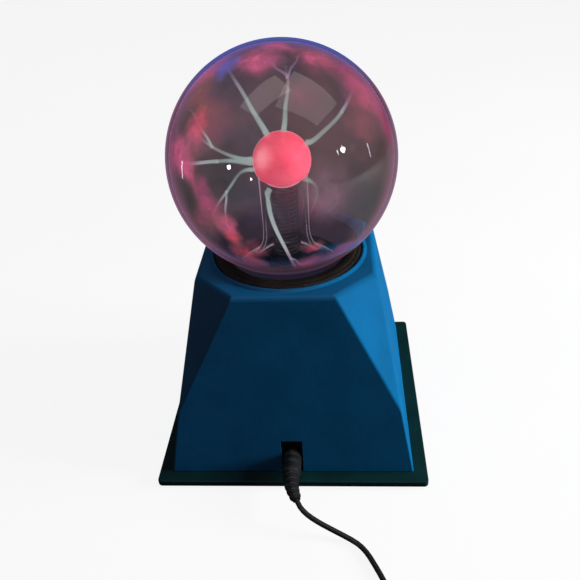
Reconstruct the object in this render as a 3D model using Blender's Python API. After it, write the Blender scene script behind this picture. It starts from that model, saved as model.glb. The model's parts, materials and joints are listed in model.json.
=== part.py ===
"""A plasma ball: a glass globe on a tapered housing, with its drive electronics and its USB power lead.

Frame: metres, +Z up, origin on the surface that the feet stand on, under the middle of the object. The
power lead enters at -Y and the mode switch is at +Y.
"""

import math

import bmesh
import bpy
from mathutils import Matrix, Vector

# ---- Driving dimensions ------------------------------------------------------------------------------
GAP = 0.0003  # left between pieces that touch

FOOT_RADIUS = 0.006
FOOT_HEIGHT = 0.0012
FOOT_AT = 0.055

PLATE_SIDE = 0.128
PLATE_BOTTOM = FOOT_HEIGHT + GAP
PLATE_THICKNESS = 0.0031
PLATE_TOP = PLATE_BOTTOM + PLATE_THICKNESS
PLATE_CORNER = 0.002

HOUSING_BOTTOM = PLATE_TOP + GAP
HOUSING_TOP = 0.0934
HOUSING_HALF_BOTTOM = 0.0576
HOUSING_HALF_TOP = 0.0411
OCTAGON_HALF_EDGE = 0.0226  # half the straight edge that each wall keeps at the top
FACET_APEX_Z = 0.0369  # where each triangular corner facet comes to its lower point
WALL = 0.0022
POST_AT = 0.046
POST_RADIUS = 0.0035
POST_TOP = 0.043
POST_HOLE_RADIUS = 0.0017
POST_HOLE_TOP = 0.0185
CUT_PAST = 0.002  # how far cutting shapes run past what they cut
MERGE = 0.0008  # how far joined shapes reach into each other
TOP_EDGE_ROUNDING = 0.0022
SIDE_EDGE_SHARE = 0.35  # how much rounding the side edges have, as a share of the top's
RIM_HALF = 0.0542  # the plate's upright rim, inside the housing
RIM_WALL = 0.0016
RIM_TOP = 0.0076

NECK_RADIUS = 0.0272
NECK_BOTTOM = 0.0805
RECESS_RADIUS = 0.0352
RECESS_FLOOR = 0.0922
BEAD_WIDTH = 0.0026  # the raised rim round the recess
BEAD_HEIGHT = 0.0009
LEDGE_RADIUS = 0.0388
LEDGE_BOTTOM = 0.0898
RETAINER_RADIUS = 0.0368
NECK_HOLE_RADIUS = NECK_RADIUS + 0.0008
RETAINER_SCREW_AT = 0.0330
GASKET_SHOULDER = 0.0934
GASKET_CROWN = 0.0950
RETAINER_BOTTOM = 0.0863

GLOBE_RADIUS = 0.0508
GLOBE_CENTRE_Z = 0.1393
GLASS = 0.0015

BULB_RADIUS = 0.013
BULB_CENTRE_Z = 0.1388
STEM_RADIUS = 0.0108
STEM_GLASS = 0.0012
PLUG_TOP = 0.0915
SPRING_RADIUS = 0.006
SPRING_WIRE = 0.0006
SPRING_PITCH = 0.002
SPRING_TURNS = 17

BOARD_BOTTOM = 0.0062
BOARD_TOP = 0.0078
BOARD_X = 0.038
BOARD_Y0, BOARD_Y1 = -0.0375, 0.024
BOARD_SCREW_X = 0.034
BOARD_SCREW_Y = (-0.0335, 0.020)
PARTS_Z = BOARD_TOP + GAP

SOCKET_X = 0.0005
SOCKET_Z = 0.0115
SOCKET_FRONT_Y = -0.0520
SOCKET_BACK_Y = -0.0395
NOTCH_WIDTH = 0.0102
NOTCH_TOP = 0.0215

SWITCH_Z = 0.016  # height of the slider on the +Y wall
SWITCH_SCREW_X = 0.0095
SLIDER_TRAVEL = 0.004

CORD_RADIUS = 0.0012
PLUG_RADIUS = 0.0045
PLUG_FRONT_Y = SOCKET_FRONT_Y - GAP
TAIL_START_Y = -0.066
TAIL_LENGTH = 0.0145
TAIL_TURN = 0.45  # radians that the strain relief bends towards +X
BARREL_RADIUS = 0.00275
BARREL_LENGTH = 0.0092

COIL_CENTRE = (0.030, -0.142)
TURN_PITCH = 0.00245
COIL_COLUMNS = 3
COIL_LAYERS = 4
COIL_MEAN_RADIUS = 0.0132
COIL_TIE_WIDTH = 0.003

USB_CENTRE = Vector((-0.020, -0.1577, 0.0040))
USB_BODY = (0.028, 0.0155, 0.0080)
USB_SHELL = (0.0187, 0.0120, 0.0045)
USB_RELIEF_LENGTH = 0.010

# The free stretches of the cord, from the strain relief to the coil and from the coil to the USB plug
CORD_TO_COIL = [
    (0.0037, -0.0803, 0.0112),
    (0.0054, -0.0836, 0.0107),
    (0.0084, -0.0864, 0.0094),
    (0.0130, -0.0884, 0.0071),
    (0.0190, -0.0902, 0.0044),
    (0.0250, -0.0922, 0.0022),
    (0.0302, -0.0951, 0.0013),
    (0.0338, -0.0992, 0.0012),
    (0.0364, -0.1040, 0.0012),
    (0.0386, -0.1086, 0.0012),
    (0.0405, -0.1130, 0.0012),
    (0.0428, -0.1190, 0.0012),
    (0.0446, -0.1255, 0.0012),
    (0.0456, -0.1318, 0.0012),
]
CORD_TO_USB = [
    (0.0200, -0.1577, 0.0083),
    (0.0160, -0.1577, 0.0074),
    (0.0120, -0.1577, 0.0060),
    (0.0080, -0.1577, 0.0047),
    (0.0043, -0.1577, 0.0040),
]

# name: colour, roughness, metallic, transmission
MATERIALS = {
    "blue_plastic": ((0.008, 0.075, 0.150), 0.38, 0.0, 0.0),
    "dark_green_plastic": ((0.004, 0.022, 0.022), 0.35, 0.0, 0.0),
    "black_rubber": ((0.018, 0.016, 0.013), 0.70, 0.0, 0.0),
    "black_plastic": ((0.012, 0.012, 0.012), 0.45, 0.0, 0.0),
    "natural_plastic": ((0.55, 0.53, 0.48), 0.50, 0.0, 0.0),
    "clear_glass": ((0.93, 0.95, 0.97), 0.03, 0.0, 1.0),
    "glowing_coating": ((0.90, 0.09, 0.13), 0.35, 0.0, 0.0),
    "spring_steel": ((0.45, 0.45, 0.46), 0.30, 1.0, 0.0),
    "zinc_steel": ((0.62, 0.62, 0.60), 0.35, 1.0, 0.0),
    "board_green": ((0.012, 0.110, 0.040), 0.40, 0.0, 0.0),
    "ferrite": ((0.045, 0.045, 0.050), 0.65, 0.0, 0.0),
    "winding_tape": ((0.60, 0.42, 0.06), 0.40, 0.0, 0.0),
    "red_insulation": ((0.50, 0.02, 0.02), 0.45, 0.0, 0.0),
    "aluminium": ((0.72, 0.73, 0.74), 0.35, 1.0, 0.0),
    "capacitor_sleeve": ((0.010, 0.020, 0.070), 0.35, 0.0, 0.0),
    "resistor_body": ((0.62, 0.48, 0.30), 0.45, 0.0, 0.0),
    "nickel": ((0.75, 0.73, 0.70), 0.20, 1.0, 0.0),
    "tie_plastic": ((0.03, 0.03, 0.03), 0.50, 0.0, 0.0),
}


# ---- Making things -----------------------------------------------------------------------------------
def clear_scene():
    for obj in list(bpy.data.objects):
        bpy.data.objects.remove(obj, do_unlink=True)


def material(name):
    found = bpy.data.materials.get(name)
    if found:
        return found
    colour, roughness, metallic, transmission = MATERIALS[name]
    made = bpy.data.materials.new(name)
    made.use_nodes = True
    shader = made.node_tree.nodes["Principled BSDF"]
    shader.inputs["Base Color"].default_value = (*colour, 1.0)
    shader.inputs["Roughness"].default_value = roughness
    shader.inputs["Metallic"].default_value = metallic
    shader.inputs["Transmission Weight"].default_value = transmission
    return made


def add(name, bm, finish, smooth=True):
    """Turns a bmesh into an object, with its faces pointing out."""
    bm.normal_update()
    bmesh.ops.recalc_face_normals(bm, faces=bm.faces)
    mesh = bpy.data.meshes.new(name)
    bm.to_mesh(mesh)
    bm.free()
    if smooth:
        mesh.shade_smooth()
        mesh.set_sharp_from_angle(angle=math.radians(35))
    mesh.materials.append(material(finish))
    obj = bpy.data.objects.new(name, mesh)
    bpy.context.scene.collection.objects.link(obj)
    return obj


def lathe_into(bm, profile, segments, at=(0.0, 0.0, 0.0)):
    """Spins a closed outline of (radius, height) points round a vertical axis through at."""
    verts = [bm.verts.new((at[0] + r, at[1], at[2] + z)) for r, z in profile]
    edges = [bm.edges.new((a, b)) for a, b in zip(verts, verts[1:] + verts[:1])]
    bmesh.ops.spin(
        bm, geom=verts + edges, cent=at, axis=(0, 0, 1), angle=2 * math.pi, steps=segments, use_merge=True
    )
    bmesh.ops.remove_doubles(bm, verts=bm.verts, dist=1e-6)
    on_axis = [e for e in bm.edges if not e.link_faces]
    bmesh.ops.delete(bm, geom=on_axis, context="EDGES")


def lathe(name, profile, finish, segments=32, at=(0.0, 0.0, 0.0)):
    bm = bmesh.new()
    lathe_into(bm, profile, segments, at)
    return add(name, bm, finish)


def disc_profile(outer, low, high, inner=0.0, chamfer=0.0):
    """The outline of a washer, or of a disc where inner is 0."""
    c = chamfer
    top = [(outer - c, high), (outer, high - c)] if c else [(outer, high)]
    bottom = [(outer, low + c), (outer - c, low)] if c else [(outer, low)]
    return [(inner, high)] + top + bottom + [(inner, low)]


def slab_into(bm, outline, low, high):
    """Extrudes an outline of (x, y) points from low to high."""
    face = bm.faces.new([bm.verts.new((x, y, low)) for x, y in outline])
    raised = bmesh.ops.extrude_face_region(bm, geom=[face])["geom"]
    verts = [v for v in raised if isinstance(v, bmesh.types.BMVert)]
    bmesh.ops.translate(bm, vec=(0, 0, high - low), verts=verts)


def rectangle(x0, x1, y0, y1):
    return [(x0, y0), (x1, y0), (x1, y1), (x0, y1)]


def rounded_rectangle(width, depth, radius, steps=4):
    points = []
    for corner in range(4):
        sx, sy = ((1, 1), (-1, 1), (-1, -1), (1, -1))[corner]
        for k in range(steps + 1):
            turn = math.pi / 2 * (corner + k / steps)
            points.append(
                (
                    sx * (width / 2 - radius) + radius * math.cos(turn),
                    sy * (depth / 2 - radius) + radius * math.sin(turn),
                )
            )
    return points


def slab(name, outline, low, high, finish):
    bm = bmesh.new()
    slab_into(bm, outline, low, high)
    return add(name, bm, finish)


def boxes(name, corners, finish):
    """One object of several boxes, each given as its lowest and highest corner."""
    bm = bmesh.new()
    for (x0, y0, z0), (x1, y1, z1) in corners:
        slab_into(bm, rectangle(x0, x1, y0, y1), z0, z1)
    return add(name, bm, finish)


def cylinders(name, places, radius, low, high, finish="blue_plastic", segments=12):
    """One object of several upright cylinders at the (x, y) places."""
    bm = bmesh.new()
    for x, y in places:
        bmesh.ops.create_cone(
            bm,
            cap_ends=True,
            segments=segments,
            radius1=radius,
            radius2=radius,
            depth=high - low,
            matrix=Matrix.Translation((x, y, (low + high) / 2)),
        )
    return add(name, bm, finish)


def sweep(name, centres, radii, finish, segments=16):
    """Joins rings of the given radii along a line of centres, closed at both ends."""
    bm = bmesh.new()
    points = [Vector(p) for p in centres]
    side = None
    rings = []
    for k, (centre, radius) in enumerate(zip(points, radii)):
        along = (points[min(k + 1, len(points) - 1)] - points[max(k - 1, 0)]).normalized()
        side = along.cross(Vector((0, 0, 1))) if side is None else side - along * side.dot(along)
        side.normalize()
        up = side.cross(along)
        turns = [2 * math.pi * n / segments for n in range(segments)]
        ring = [centre + radius * (side * math.cos(t) + up * math.sin(t)) for t in turns]
        rings.append([bm.verts.new(place) for place in ring])
    for low, high in zip(rings, rings[1:]):
        for n in range(segments):
            m = (n + 1) % segments
            bm.faces.new((low[n], low[m], high[m], high[n]))
    bm.faces.new(rings[0])
    bm.faces.new(rings[-1])
    return add(name, bm, finish)


def wire(name, points, radius, finish, resolution=2):
    """A round wire or cord along the points."""
    curve = bpy.data.curves.new(name, "CURVE")
    curve.dimensions = "3D"
    curve.bevel_depth = radius
    curve.bevel_resolution = resolution
    curve.use_fill_caps = True
    line = curve.splines.new("POLY")
    line.points.add(len(points) - 1)
    for spot, place in zip(line.points, points):
        spot.co = (*place, 1.0)
    curve.materials.append(material(finish))
    obj = bpy.data.objects.new(name, curve)
    bpy.context.scene.collection.objects.link(obj)
    return obj


def smooth_through(route, spacing):
    """Points about spacing apart on a Catmull-Rom curve through the route's points."""
    points = [Vector(p) for p in route]
    ends = [points[0] * 2 - points[1]] + points + [points[-1] * 2 - points[-2]]
    found = [points[0]]
    for a, b, c, d in zip(ends, ends[1:], ends[2:], ends[3:]):
        steps = max(1, round((c - b).length / spacing))
        for k in range(1, steps + 1):
            t = k / steps
            found.append(
                0.5
                * (
                    2 * b
                    + (c - a) * t
                    + (2 * a - 5 * b + 4 * c - d) * t**2
                    + (3 * b - a - 3 * c + d) * t**3
                )
            )
    return found


def combine(target, tool, operation):
    """Cuts the tool from the target, or joins it to it, and hides the tool."""
    step = target.modifiers.new(tool.name, "BOOLEAN")
    step.operation = operation
    step.solver = "EXACT"
    step.object = tool
    tool.hide_render = True
    tool.display_type = "WIRE"


def cut(target, tool):
    combine(target, tool, "DIFFERENCE")


def join(target, tool):
    combine(target, tool, "UNION")


def round_edges(obj, width, segments=2, angle=50):
    step = obj.modifiers.new("rounded_edges", "BEVEL")
    step.width = width
    step.segments = segments
    step.limit_method = "ANGLE"
    step.angle_limit = math.radians(angle)


def screw(name, at, head_radius, head_height, shank_radius, length, pointing=(0, 0, -1)):
    """A pan-head screw whose head rests at the point at, with its shank along pointing."""
    profile = [
        (0.0, head_height),
        (head_radius * 0.6, head_height),
        (head_radius * 0.92, head_height * 0.65),
        (head_radius, head_height * 0.2),
        (head_radius, 0.0),
        (shank_radius, 0.0),
        (shank_radius, -length + shank_radius),
        (0.0, -length),
    ]
    made = lathe(name, profile, "zinc_steel", segments=10)
    made.rotation_euler = Vector(pointing).to_track_quat("-Z", "Y").to_euler()
    made.location = at
    return made


def corners_of(distance_x, distance_y=None):
    dy = distance_x if distance_y is None else distance_y
    return [(distance_x, dy), (-distance_x, dy), (-distance_x, -dy), (distance_x, -dy)]


# ---- The base ----------------------------------------------------------------------------------------
WALL_SLOPE = (HOUSING_HALF_BOTTOM - HOUSING_HALF_TOP) / (HOUSING_TOP - PLATE_TOP)
WALL_LEAN = math.atan(WALL_SLOPE)
FACET_TOP = (HOUSING_HALF_TOP + OCTAGON_HALF_EDGE) / math.sqrt(2)


def half_width(z):
    """Half the housing's width at height z."""
    return HOUSING_HALF_TOP + WALL_SLOPE * (HOUSING_TOP - z)


FACET_SLOPE = (half_width(FACET_APEX_Z) * math.sqrt(2) - FACET_TOP) / (HOUSING_TOP - FACET_APEX_Z)


def tapered_body(name, inset, low, high):
    """The housing's outer shape, a square below that turns into an octagon above, moved in by inset."""

    def wall(z):
        return half_width(z) - inset / math.cos(WALL_LEAN)

    def facet(z):
        return FACET_TOP + FACET_SLOPE * (HOUSING_TOP - z) - inset / math.cos(math.atan(FACET_SLOPE))

    apex_z = HOUSING_TOP - (wall(HOUSING_TOP) * math.sqrt(2) - facet(HOUSING_TOP)) / (
        FACET_SLOPE - WALL_SLOPE * math.sqrt(2)
    )
    bottom, apex, side = wall(low), wall(apex_z), wall(high)
    edge = facet(high) * math.sqrt(2) - side
    bm = bmesh.new()
    corner = [bm.verts.new((x, y, low)) for x, y in corners_of(bottom)]
    tip = [bm.verts.new((x, y, apex_z)) for x, y in corners_of(apex)]
    top = []
    for n, (sx, sy) in enumerate(corners_of(1)):
        pair = [(sx * side, sy * edge), (sx * edge, sy * side)]
        top.append([bm.verts.new((x, y, high)) for x, y in (pair if n % 2 == 0 else pair[::-1])])
    for n in range(4):
        m = (n + 1) % 4
        bm.faces.new((corner[n], corner[m], tip[m], top[m][0], top[n][1], tip[n]))
        bm.faces.new((tip[n], top[n][1], top[n][0]))
    bm.faces.new([v for pair in top for v in pair])
    bm.faces.new(corner[::-1])
    return add(name, bm, "blue_plastic", smooth=False)


def on_switch_wall(x, up, out):
    """A point of the +Y wall near the switch: up along the wall and out from its outer face."""
    lean_sin, lean_cos = math.sin(WALL_LEAN), math.cos(WALL_LEAN)
    return Vector(
        (
            x,
            half_width(SWITCH_Z) - up * lean_sin + out * lean_cos,
            SWITCH_Z + up * lean_cos + out * lean_sin,
        )
    )


def wall_box(name, x, up, out, finish="black_plastic"):
    """A box square to the +Y wall, its x, up and out each a (low, high) pair."""
    bm = bmesh.new()
    slab_into(bm, rectangle(*x, *up), *out)
    for v in bm.verts:
        v.co = on_switch_wall(*v.co)
    return add(name, bm, finish)


def make_housing():
    housing = tapered_body("housing", 0.0, HOUSING_BOTTOM, HOUSING_TOP)
    weights = housing.data.attributes.new("bevel_weight_edge", "FLOAT", "EDGE")
    for edge, weight in zip(housing.data.edges, weights.data):
        ends = [housing.data.vertices[v].co.z for v in edge.vertices]
        at_top = min(ends) > HOUSING_TOP - GAP
        at_bottom = max(ends) < HOUSING_BOTTOM + GAP
        weight.value = 1.0 if at_top else 0.0 if at_bottom else SIDE_EDGE_SHARE
    edges = housing.modifiers.new("rounded_edges", "BEVEL")
    edges.width = TOP_EDGE_ROUNDING
    edges.segments = 3
    edges.limit_method = "WEIGHT"
    cut(housing, tapered_body("housing_cavity", WALL, HOUSING_BOTTOM - CUT_PAST, HOUSING_TOP - WALL))
    ledge = disc_profile(LEDGE_RADIUS, LEDGE_BOTTOM, HOUSING_TOP - WALL + MERGE)
    join(housing, lathe("housing_ledge", ledge, "blue_plastic", segments=40))
    bead_top = HOUSING_TOP + BEAD_HEIGHT
    bead = [
        (RECESS_RADIUS - MERGE, bead_top),
        (RECESS_RADIUS + BEAD_WIDTH * 0.55, bead_top),
        (RECESS_RADIUS + BEAD_WIDTH * 0.85, HOUSING_TOP + BEAD_HEIGHT * 0.6),
        (RECESS_RADIUS + BEAD_WIDTH, HOUSING_TOP - GAP),
        (RECESS_RADIUS + BEAD_WIDTH, HOUSING_TOP - MERGE),
        (RECESS_RADIUS - MERGE, HOUSING_TOP - MERGE),
    ]
    join(housing, lathe("housing_bead", bead, "blue_plastic", segments=40))
    join(housing, cylinders("housing_posts", corners_of(POST_AT), POST_RADIUS, HOUSING_BOTTOM, POST_TOP))
    lip = 0.0005
    opening = [
        (0.0, bead_top + lip),
        (RECESS_RADIUS + lip, bead_top + lip),
        (RECESS_RADIUS + lip, bead_top),
        (RECESS_RADIUS, bead_top - lip),
        (RECESS_RADIUS, RECESS_FLOOR),
        (NECK_HOLE_RADIUS, RECESS_FLOOR),
        (NECK_HOLE_RADIUS, LEDGE_BOTTOM - CUT_PAST),
        (0.0, LEDGE_BOTTOM - CUT_PAST),
    ]
    cut(housing, lathe("housing_mouth", opening, "blue_plastic", segments=40))
    below = HOUSING_BOTTOM - CUT_PAST
    cut(housing, cylinders("post_holes", corners_of(POST_AT), POST_HOLE_RADIUS, below, POST_HOLE_TOP))
    ring = ring_places(RETAINER_SCREW_AT, 4)
    ledge_hole_radius, ledge_hole_top = 0.0013, 0.0917
    cut(housing, cylinders("ledge_holes", ring, ledge_hole_radius, LEDGE_BOTTOM - CUT_PAST, ledge_hole_top))
    half = NOTCH_WIDTH / 2
    notch = ((SOCKET_X - half, -0.065, below), (SOCKET_X + half, -0.045, NOTCH_TOP))
    cut(housing, boxes("lead_notch", [notch], "blue_plastic"))
    cut(housing, wall_box("switch_slot", (-0.0051, 0.0051), (-0.0021, 0.0021), (-0.005, 0.002)))
    for n, x in enumerate((-SWITCH_SCREW_X, SWITCH_SCREW_X)):
        hole = cylinders(f"switch_hole_{n + 1}", [(0, 0)], 0.0014, -0.0045, 0.002)
        hole.rotation_euler = (-math.pi / 2 + WALL_LEAN, 0, 0)
        hole.location = on_switch_wall(x, 0, 0)
        cut(housing, hole)


def ring_places(radius, count):
    """Evenly spaced (x, y) places on a circle, the first at 45 degrees."""
    turns = [math.pi / 4 + 2 * math.pi * n / count for n in range(count)]
    return [(radius * math.cos(t), radius * math.sin(t)) for t in turns]


def make_base_plate():
    outline = rounded_rectangle(PLATE_SIDE, PLATE_SIDE, PLATE_CORNER)
    plate = slab("base_plate", outline, PLATE_BOTTOM, PLATE_TOP, "dark_green_plastic")
    round_edges(plate, 0.0004)
    rim_outline = rounded_rectangle(2 * RIM_HALF, 2 * RIM_HALF, 0.003)
    rim = slab("plate_rim", rim_outline, PLATE_TOP - 0.001, RIM_TOP, "dark_green_plastic")
    inside = 2 * (RIM_HALF - RIM_WALL)
    cut(rim, slab("rim_inside", rounded_rectangle(inside, inside, 0.0015), 0.0, 0.01, "black_plastic"))
    gap = ((SOCKET_X - 0.008, -0.060, PLATE_TOP - 0.002), (SOCKET_X + 0.008, -0.050, 0.01))
    cut(rim, boxes("rim_gap", [gap], "black_plastic"))
    switch_gap = ((-0.014, 0.050, PLATE_TOP - 0.002), (0.014, 0.060, 0.01))
    cut(rim, boxes("rim_switch_gap", [switch_gap], "black_plastic"))
    join(plate, rim)
    places = [(x, y) for x in (-BOARD_SCREW_X, BOARD_SCREW_X) for y in BOARD_SCREW_Y]
    standoff_radius = 0.003
    standoffs = cylinders(
        "standoffs", places, standoff_radius, PLATE_TOP - 0.001, BOARD_BOTTOM - GAP, "dark_green_plastic"
    )
    join(plate, standoffs)
    cut(plate, cylinders("standoff_holes", places, 0.0015, PLATE_BOTTOM + 0.0009, 0.01))
    cut(plate, cylinders("screw_holes", corners_of(POST_AT), 0.0018, PLATE_BOTTOM - 0.001, 0.01))
    cut(plate, cylinders("head_recesses", corners_of(POST_AT), 0.0033, PLATE_BOTTOM - 0.001, 0.0034))


def make_base():
    make_base_plate()
    make_housing()
    foot = disc_profile(FOOT_RADIUS, 0.0, FOOT_HEIGHT, chamfer=0.0003)
    for n, (x, y) in enumerate(corners_of(FOOT_AT)):
        lathe(f"rubber_foot_{n + 1}", foot, "black_rubber", segments=16).location = (x, y, 0)
    for n, (x, y) in enumerate(corners_of(POST_AT)):
        screw(f"base_screw_{n + 1}", (x, y, 0.0031), 0.0029, 0.0014, 0.0014, 0.014, (0, 0, 1))


# ---- The globe and its stem --------------------------------------------------------------------------
def arc(radius, centre_z, start, end, steps):
    """(radius, height) points on a circle about the axis, its angles from the equator in radians."""
    turns = [start + (end - start) * k / steps for k in range(steps + 1)]
    return [(max(0.0, radius * math.cos(t)), centre_z + radius * math.sin(t)) for t in turns]


def make_globe():
    inner_radius, inner_neck = GLOBE_RADIUS - GLASS, NECK_RADIUS - GLASS
    outer_end = -math.acos((NECK_RADIUS + 0.0006) / GLOBE_RADIUS)
    inner_end = -math.acos((inner_neck + 0.0006) / inner_radius)
    outer = arc(GLOBE_RADIUS, GLOBE_CENTRE_Z, math.pi / 2, outer_end, 14)
    inner = arc(inner_radius, GLOBE_CENTRE_Z, inner_end, math.pi / 2, 12)
    neck_top = outer[-1][1] - 0.0012
    outside = [(NECK_RADIUS, neck_top), (NECK_RADIUS, NECK_BOTTOM)]
    lining = [(inner_neck, NECK_BOTTOM), (inner_neck, neck_top)]
    lathe("glass_globe", outer + outside + lining + inner, "clear_glass", segments=40)


STEM_FLARE = [
    (0.0253, 0.0815),
    (0.0243, 0.0842),
    (0.0212, 0.0868),
    (0.0175, 0.0895),
    (0.0145, 0.0928),
    (0.0124, 0.0967),
    (0.0112, 0.1010),
    (0.0108, 0.1060),
]


def make_stem():
    outer_join = -math.asin(math.sqrt(BULB_RADIUS**2 - STEM_RADIUS**2) / BULB_RADIUS)
    bulb = arc(BULB_RADIUS, BULB_CENTRE_Z, math.pi / 2, outer_join, 7)
    hollow, bore = BULB_RADIUS - STEM_GLASS, STEM_RADIUS - STEM_GLASS
    inner_join = -math.asin(math.sqrt(hollow**2 - bore**2) / hollow)
    inside = arc(hollow, BULB_CENTRE_Z, inner_join, math.pi / 2, 6)
    flare_inside = [(r - STEM_GLASS, z - STEM_GLASS * 0.5) for r, z in STEM_FLARE[1:]]
    foot = [(STEM_FLARE[0][0] - STEM_GLASS, STEM_FLARE[0][1])]
    lathe("glass_stem", bulb + STEM_FLARE[::-1] + foot + flare_inside + inside, "clear_glass", segments=24)
    core = arc(BULB_RADIUS - STEM_GLASS - GAP, BULB_CENTRE_Z, math.pi / 2, -math.pi / 2, 9)
    lathe("electrode_ball", core, "glowing_coating", segments=16)
    low = PLUG_TOP + GAP + SPRING_WIRE
    per_turn = 9
    spring = []
    for k in range(SPRING_TURNS * per_turn + 1):
        turn = 2 * math.pi * k / per_turn
        height = low + SPRING_PITCH * k / per_turn
        spring.append((SPRING_RADIUS * math.cos(turn), SPRING_RADIUS * math.sin(turn), height))
    wire("contact_spring", spring, SPRING_WIRE, "spring_steel", resolution=1)
    plug = [
        (0.0, PLUG_TOP),
        (0.0072, PLUG_TOP),
        (0.0078, PLUG_TOP - 0.0006),
        (0.0078, 0.0880),
        (0.0092, 0.0874),
        (0.0092, 0.0850),
        (0.0, 0.0850),
    ]
    lathe("stem_plug", plug, "black_rubber", segments=20)


def make_neck_fittings():
    inner, outer = NECK_RADIUS + GAP, RECESS_RADIUS - GAP
    middle, half, crown = (inner + outer) / 2, (outer - inner) / 2, GASKET_CROWN - GASKET_SHOULDER
    gasket = [(outer, RECESS_FLOOR + GAP), (inner, RECESS_FLOOR + GAP)]
    steps = 8
    for k in range(steps + 1):
        turn = math.pi * (1 - k / steps)
        gasket.append((middle + half * math.cos(turn), GASKET_SHOULDER + crown * math.sin(turn)))
    lathe("neck_gasket", gasket[::-1], "black_rubber", segments=40)
    ring = disc_profile(RETAINER_RADIUS, RETAINER_BOTTOM, LEDGE_BOTTOM - GAP, inner=inner)
    retainer = lathe("globe_retainer", ring, "black_plastic", segments=32)
    places = ring_places(RETAINER_SCREW_AT, 4)
    cut(retainer, cylinders("retainer_holes", places, 0.0015, 0.085, 0.091))
    for n, (x, y) in enumerate(places):
        at = (x, y, RETAINER_BOTTOM - GAP)
        screw(f"retainer_screw_{n + 1}", at, 0.0024, 0.0015, 0.0010, 0.0052, (0, 0, 1))


# ---- The electronics ---------------------------------------------------------------------------------
def make_board():
    outline = rectangle(-BOARD_X, BOARD_X, BOARD_Y0, BOARD_Y1)
    board = slab("circuit_board", outline, BOARD_BOTTOM, BOARD_TOP, "board_green")
    half, back = 0.008, BOARD_Y0 + 0.002
    tongue = ((SOCKET_X - half, SOCKET_FRONT_Y, BOARD_BOTTOM), (SOCKET_X + half, back, BOARD_TOP))
    join(board, boxes("board_tongue", [tongue], "board_green"))
    places = [(x, y) for x in (-BOARD_SCREW_X, BOARD_SCREW_X) for y in BOARD_SCREW_Y]
    cut(board, cylinders("board_holes", places, 0.0016, 0.005, 0.009))
    for n, (x, y) in enumerate(places):
        screw(f"board_screw_{n + 1}", (x, y, PARTS_Z), 0.0025, 0.0016, 0.0012, 0.0052)


def make_flyback():
    """A ferrite ring standing on the board, with its winding round the left leg."""
    x, y, leg, window_w, window_h, yoke = -0.020, -0.012, 0.0035, 0.014, 0.0150, 0.005
    low = PARTS_Z
    high = low + 2 * yoke + window_h
    outside = (x - leg, y - leg, low), (x + window_w + 3 * leg, y + leg, high)
    core = boxes("flyback_core", [outside], "ferrite")
    window = (x + leg, y - 0.01, low + yoke), (x + leg + window_w, y + 0.01, high - yoke)
    cut(core, boxes("core_window", [window], "ferrite"))
    turns = disc_profile(0.0105, low + yoke + GAP, high - yoke - GAP, inner=0.0054, chamfer=0.0008)
    lathe("flyback_winding", turns, "winding_tape", segments=24).location = (x, y, 0)
    lead = [
        (x - 0.0030, y + 0.0118, high - yoke - 0.004),
        (x - 0.0010, y + 0.0125, high + 0.004),
        (x + 0.0050, y + 0.0120, 0.048),
        (x + 0.0130, y + 0.0090, 0.062),
        (x + 0.0190, y + 0.0115, 0.074),
        (0.0, 0.0, 0.0800),
        (0.0, 0.0, 0.0847),
    ]
    wire("high_voltage_lead", smooth_through(lead, 0.004), 0.0011, "red_insulation")


def make_transistor():
    x, y = 0.024, -0.014
    low = PARTS_Z
    fins = [((x - 0.011, y + 0.0050, low), (x + 0.011, y + 0.0075, low + 0.028))]
    for n in range(6):
        at = x - 0.011 + n * 0.0041
        fins.append(((at, y + 0.0070, low), (at + 0.0015, y + 0.0150, low + 0.028)))
    sink = boxes("heat_sink", fins[:1], "aluminium")
    for n, fin in enumerate(fins[1:]):
        join(sink, boxes(f"sink_fin_{n + 1}", [fin], "aluminium"))
    body = boxes("power_transistor", [((x - 0.005, y, low + 0.006), (x + 0.005, y + 0.0047, low + 0.022))],
                 "black_plastic")
    above = ((x - 0.006, y - 0.001, low + 0.0152), (x + 0.006, y + 0.0034, low + 0.030))
    cut(body, boxes("transistor_step", [above], "black_plastic"))
    for n in range(3):
        at = x - 0.0025 + n * 0.00254
        leg = ((at - 0.0004, y + 0.0018, low), (at + 0.0004, y + 0.0023, low + 0.008))
        join(body, boxes(f"transistor_leg_{n + 1}", [leg], "nickel"))
    for piece, radius in ((body, 0.0018), (sink, 0.0016)):
        hole = cylinders(f"{piece.name}_hole", [(0, 0)], radius, -0.010, 0.0065)
        hole.rotation_euler = (math.pi / 2, 0, 0)
        hole.location = (x, y + 0.004, low + 0.0187)
        cut(piece, hole)
    at = (x, y + 0.0034 - GAP, low + 0.0187)
    screw("transistor_screw", at, 0.0027, 0.0018, 0.0013, 0.0060, (0, 1, 0))


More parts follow.
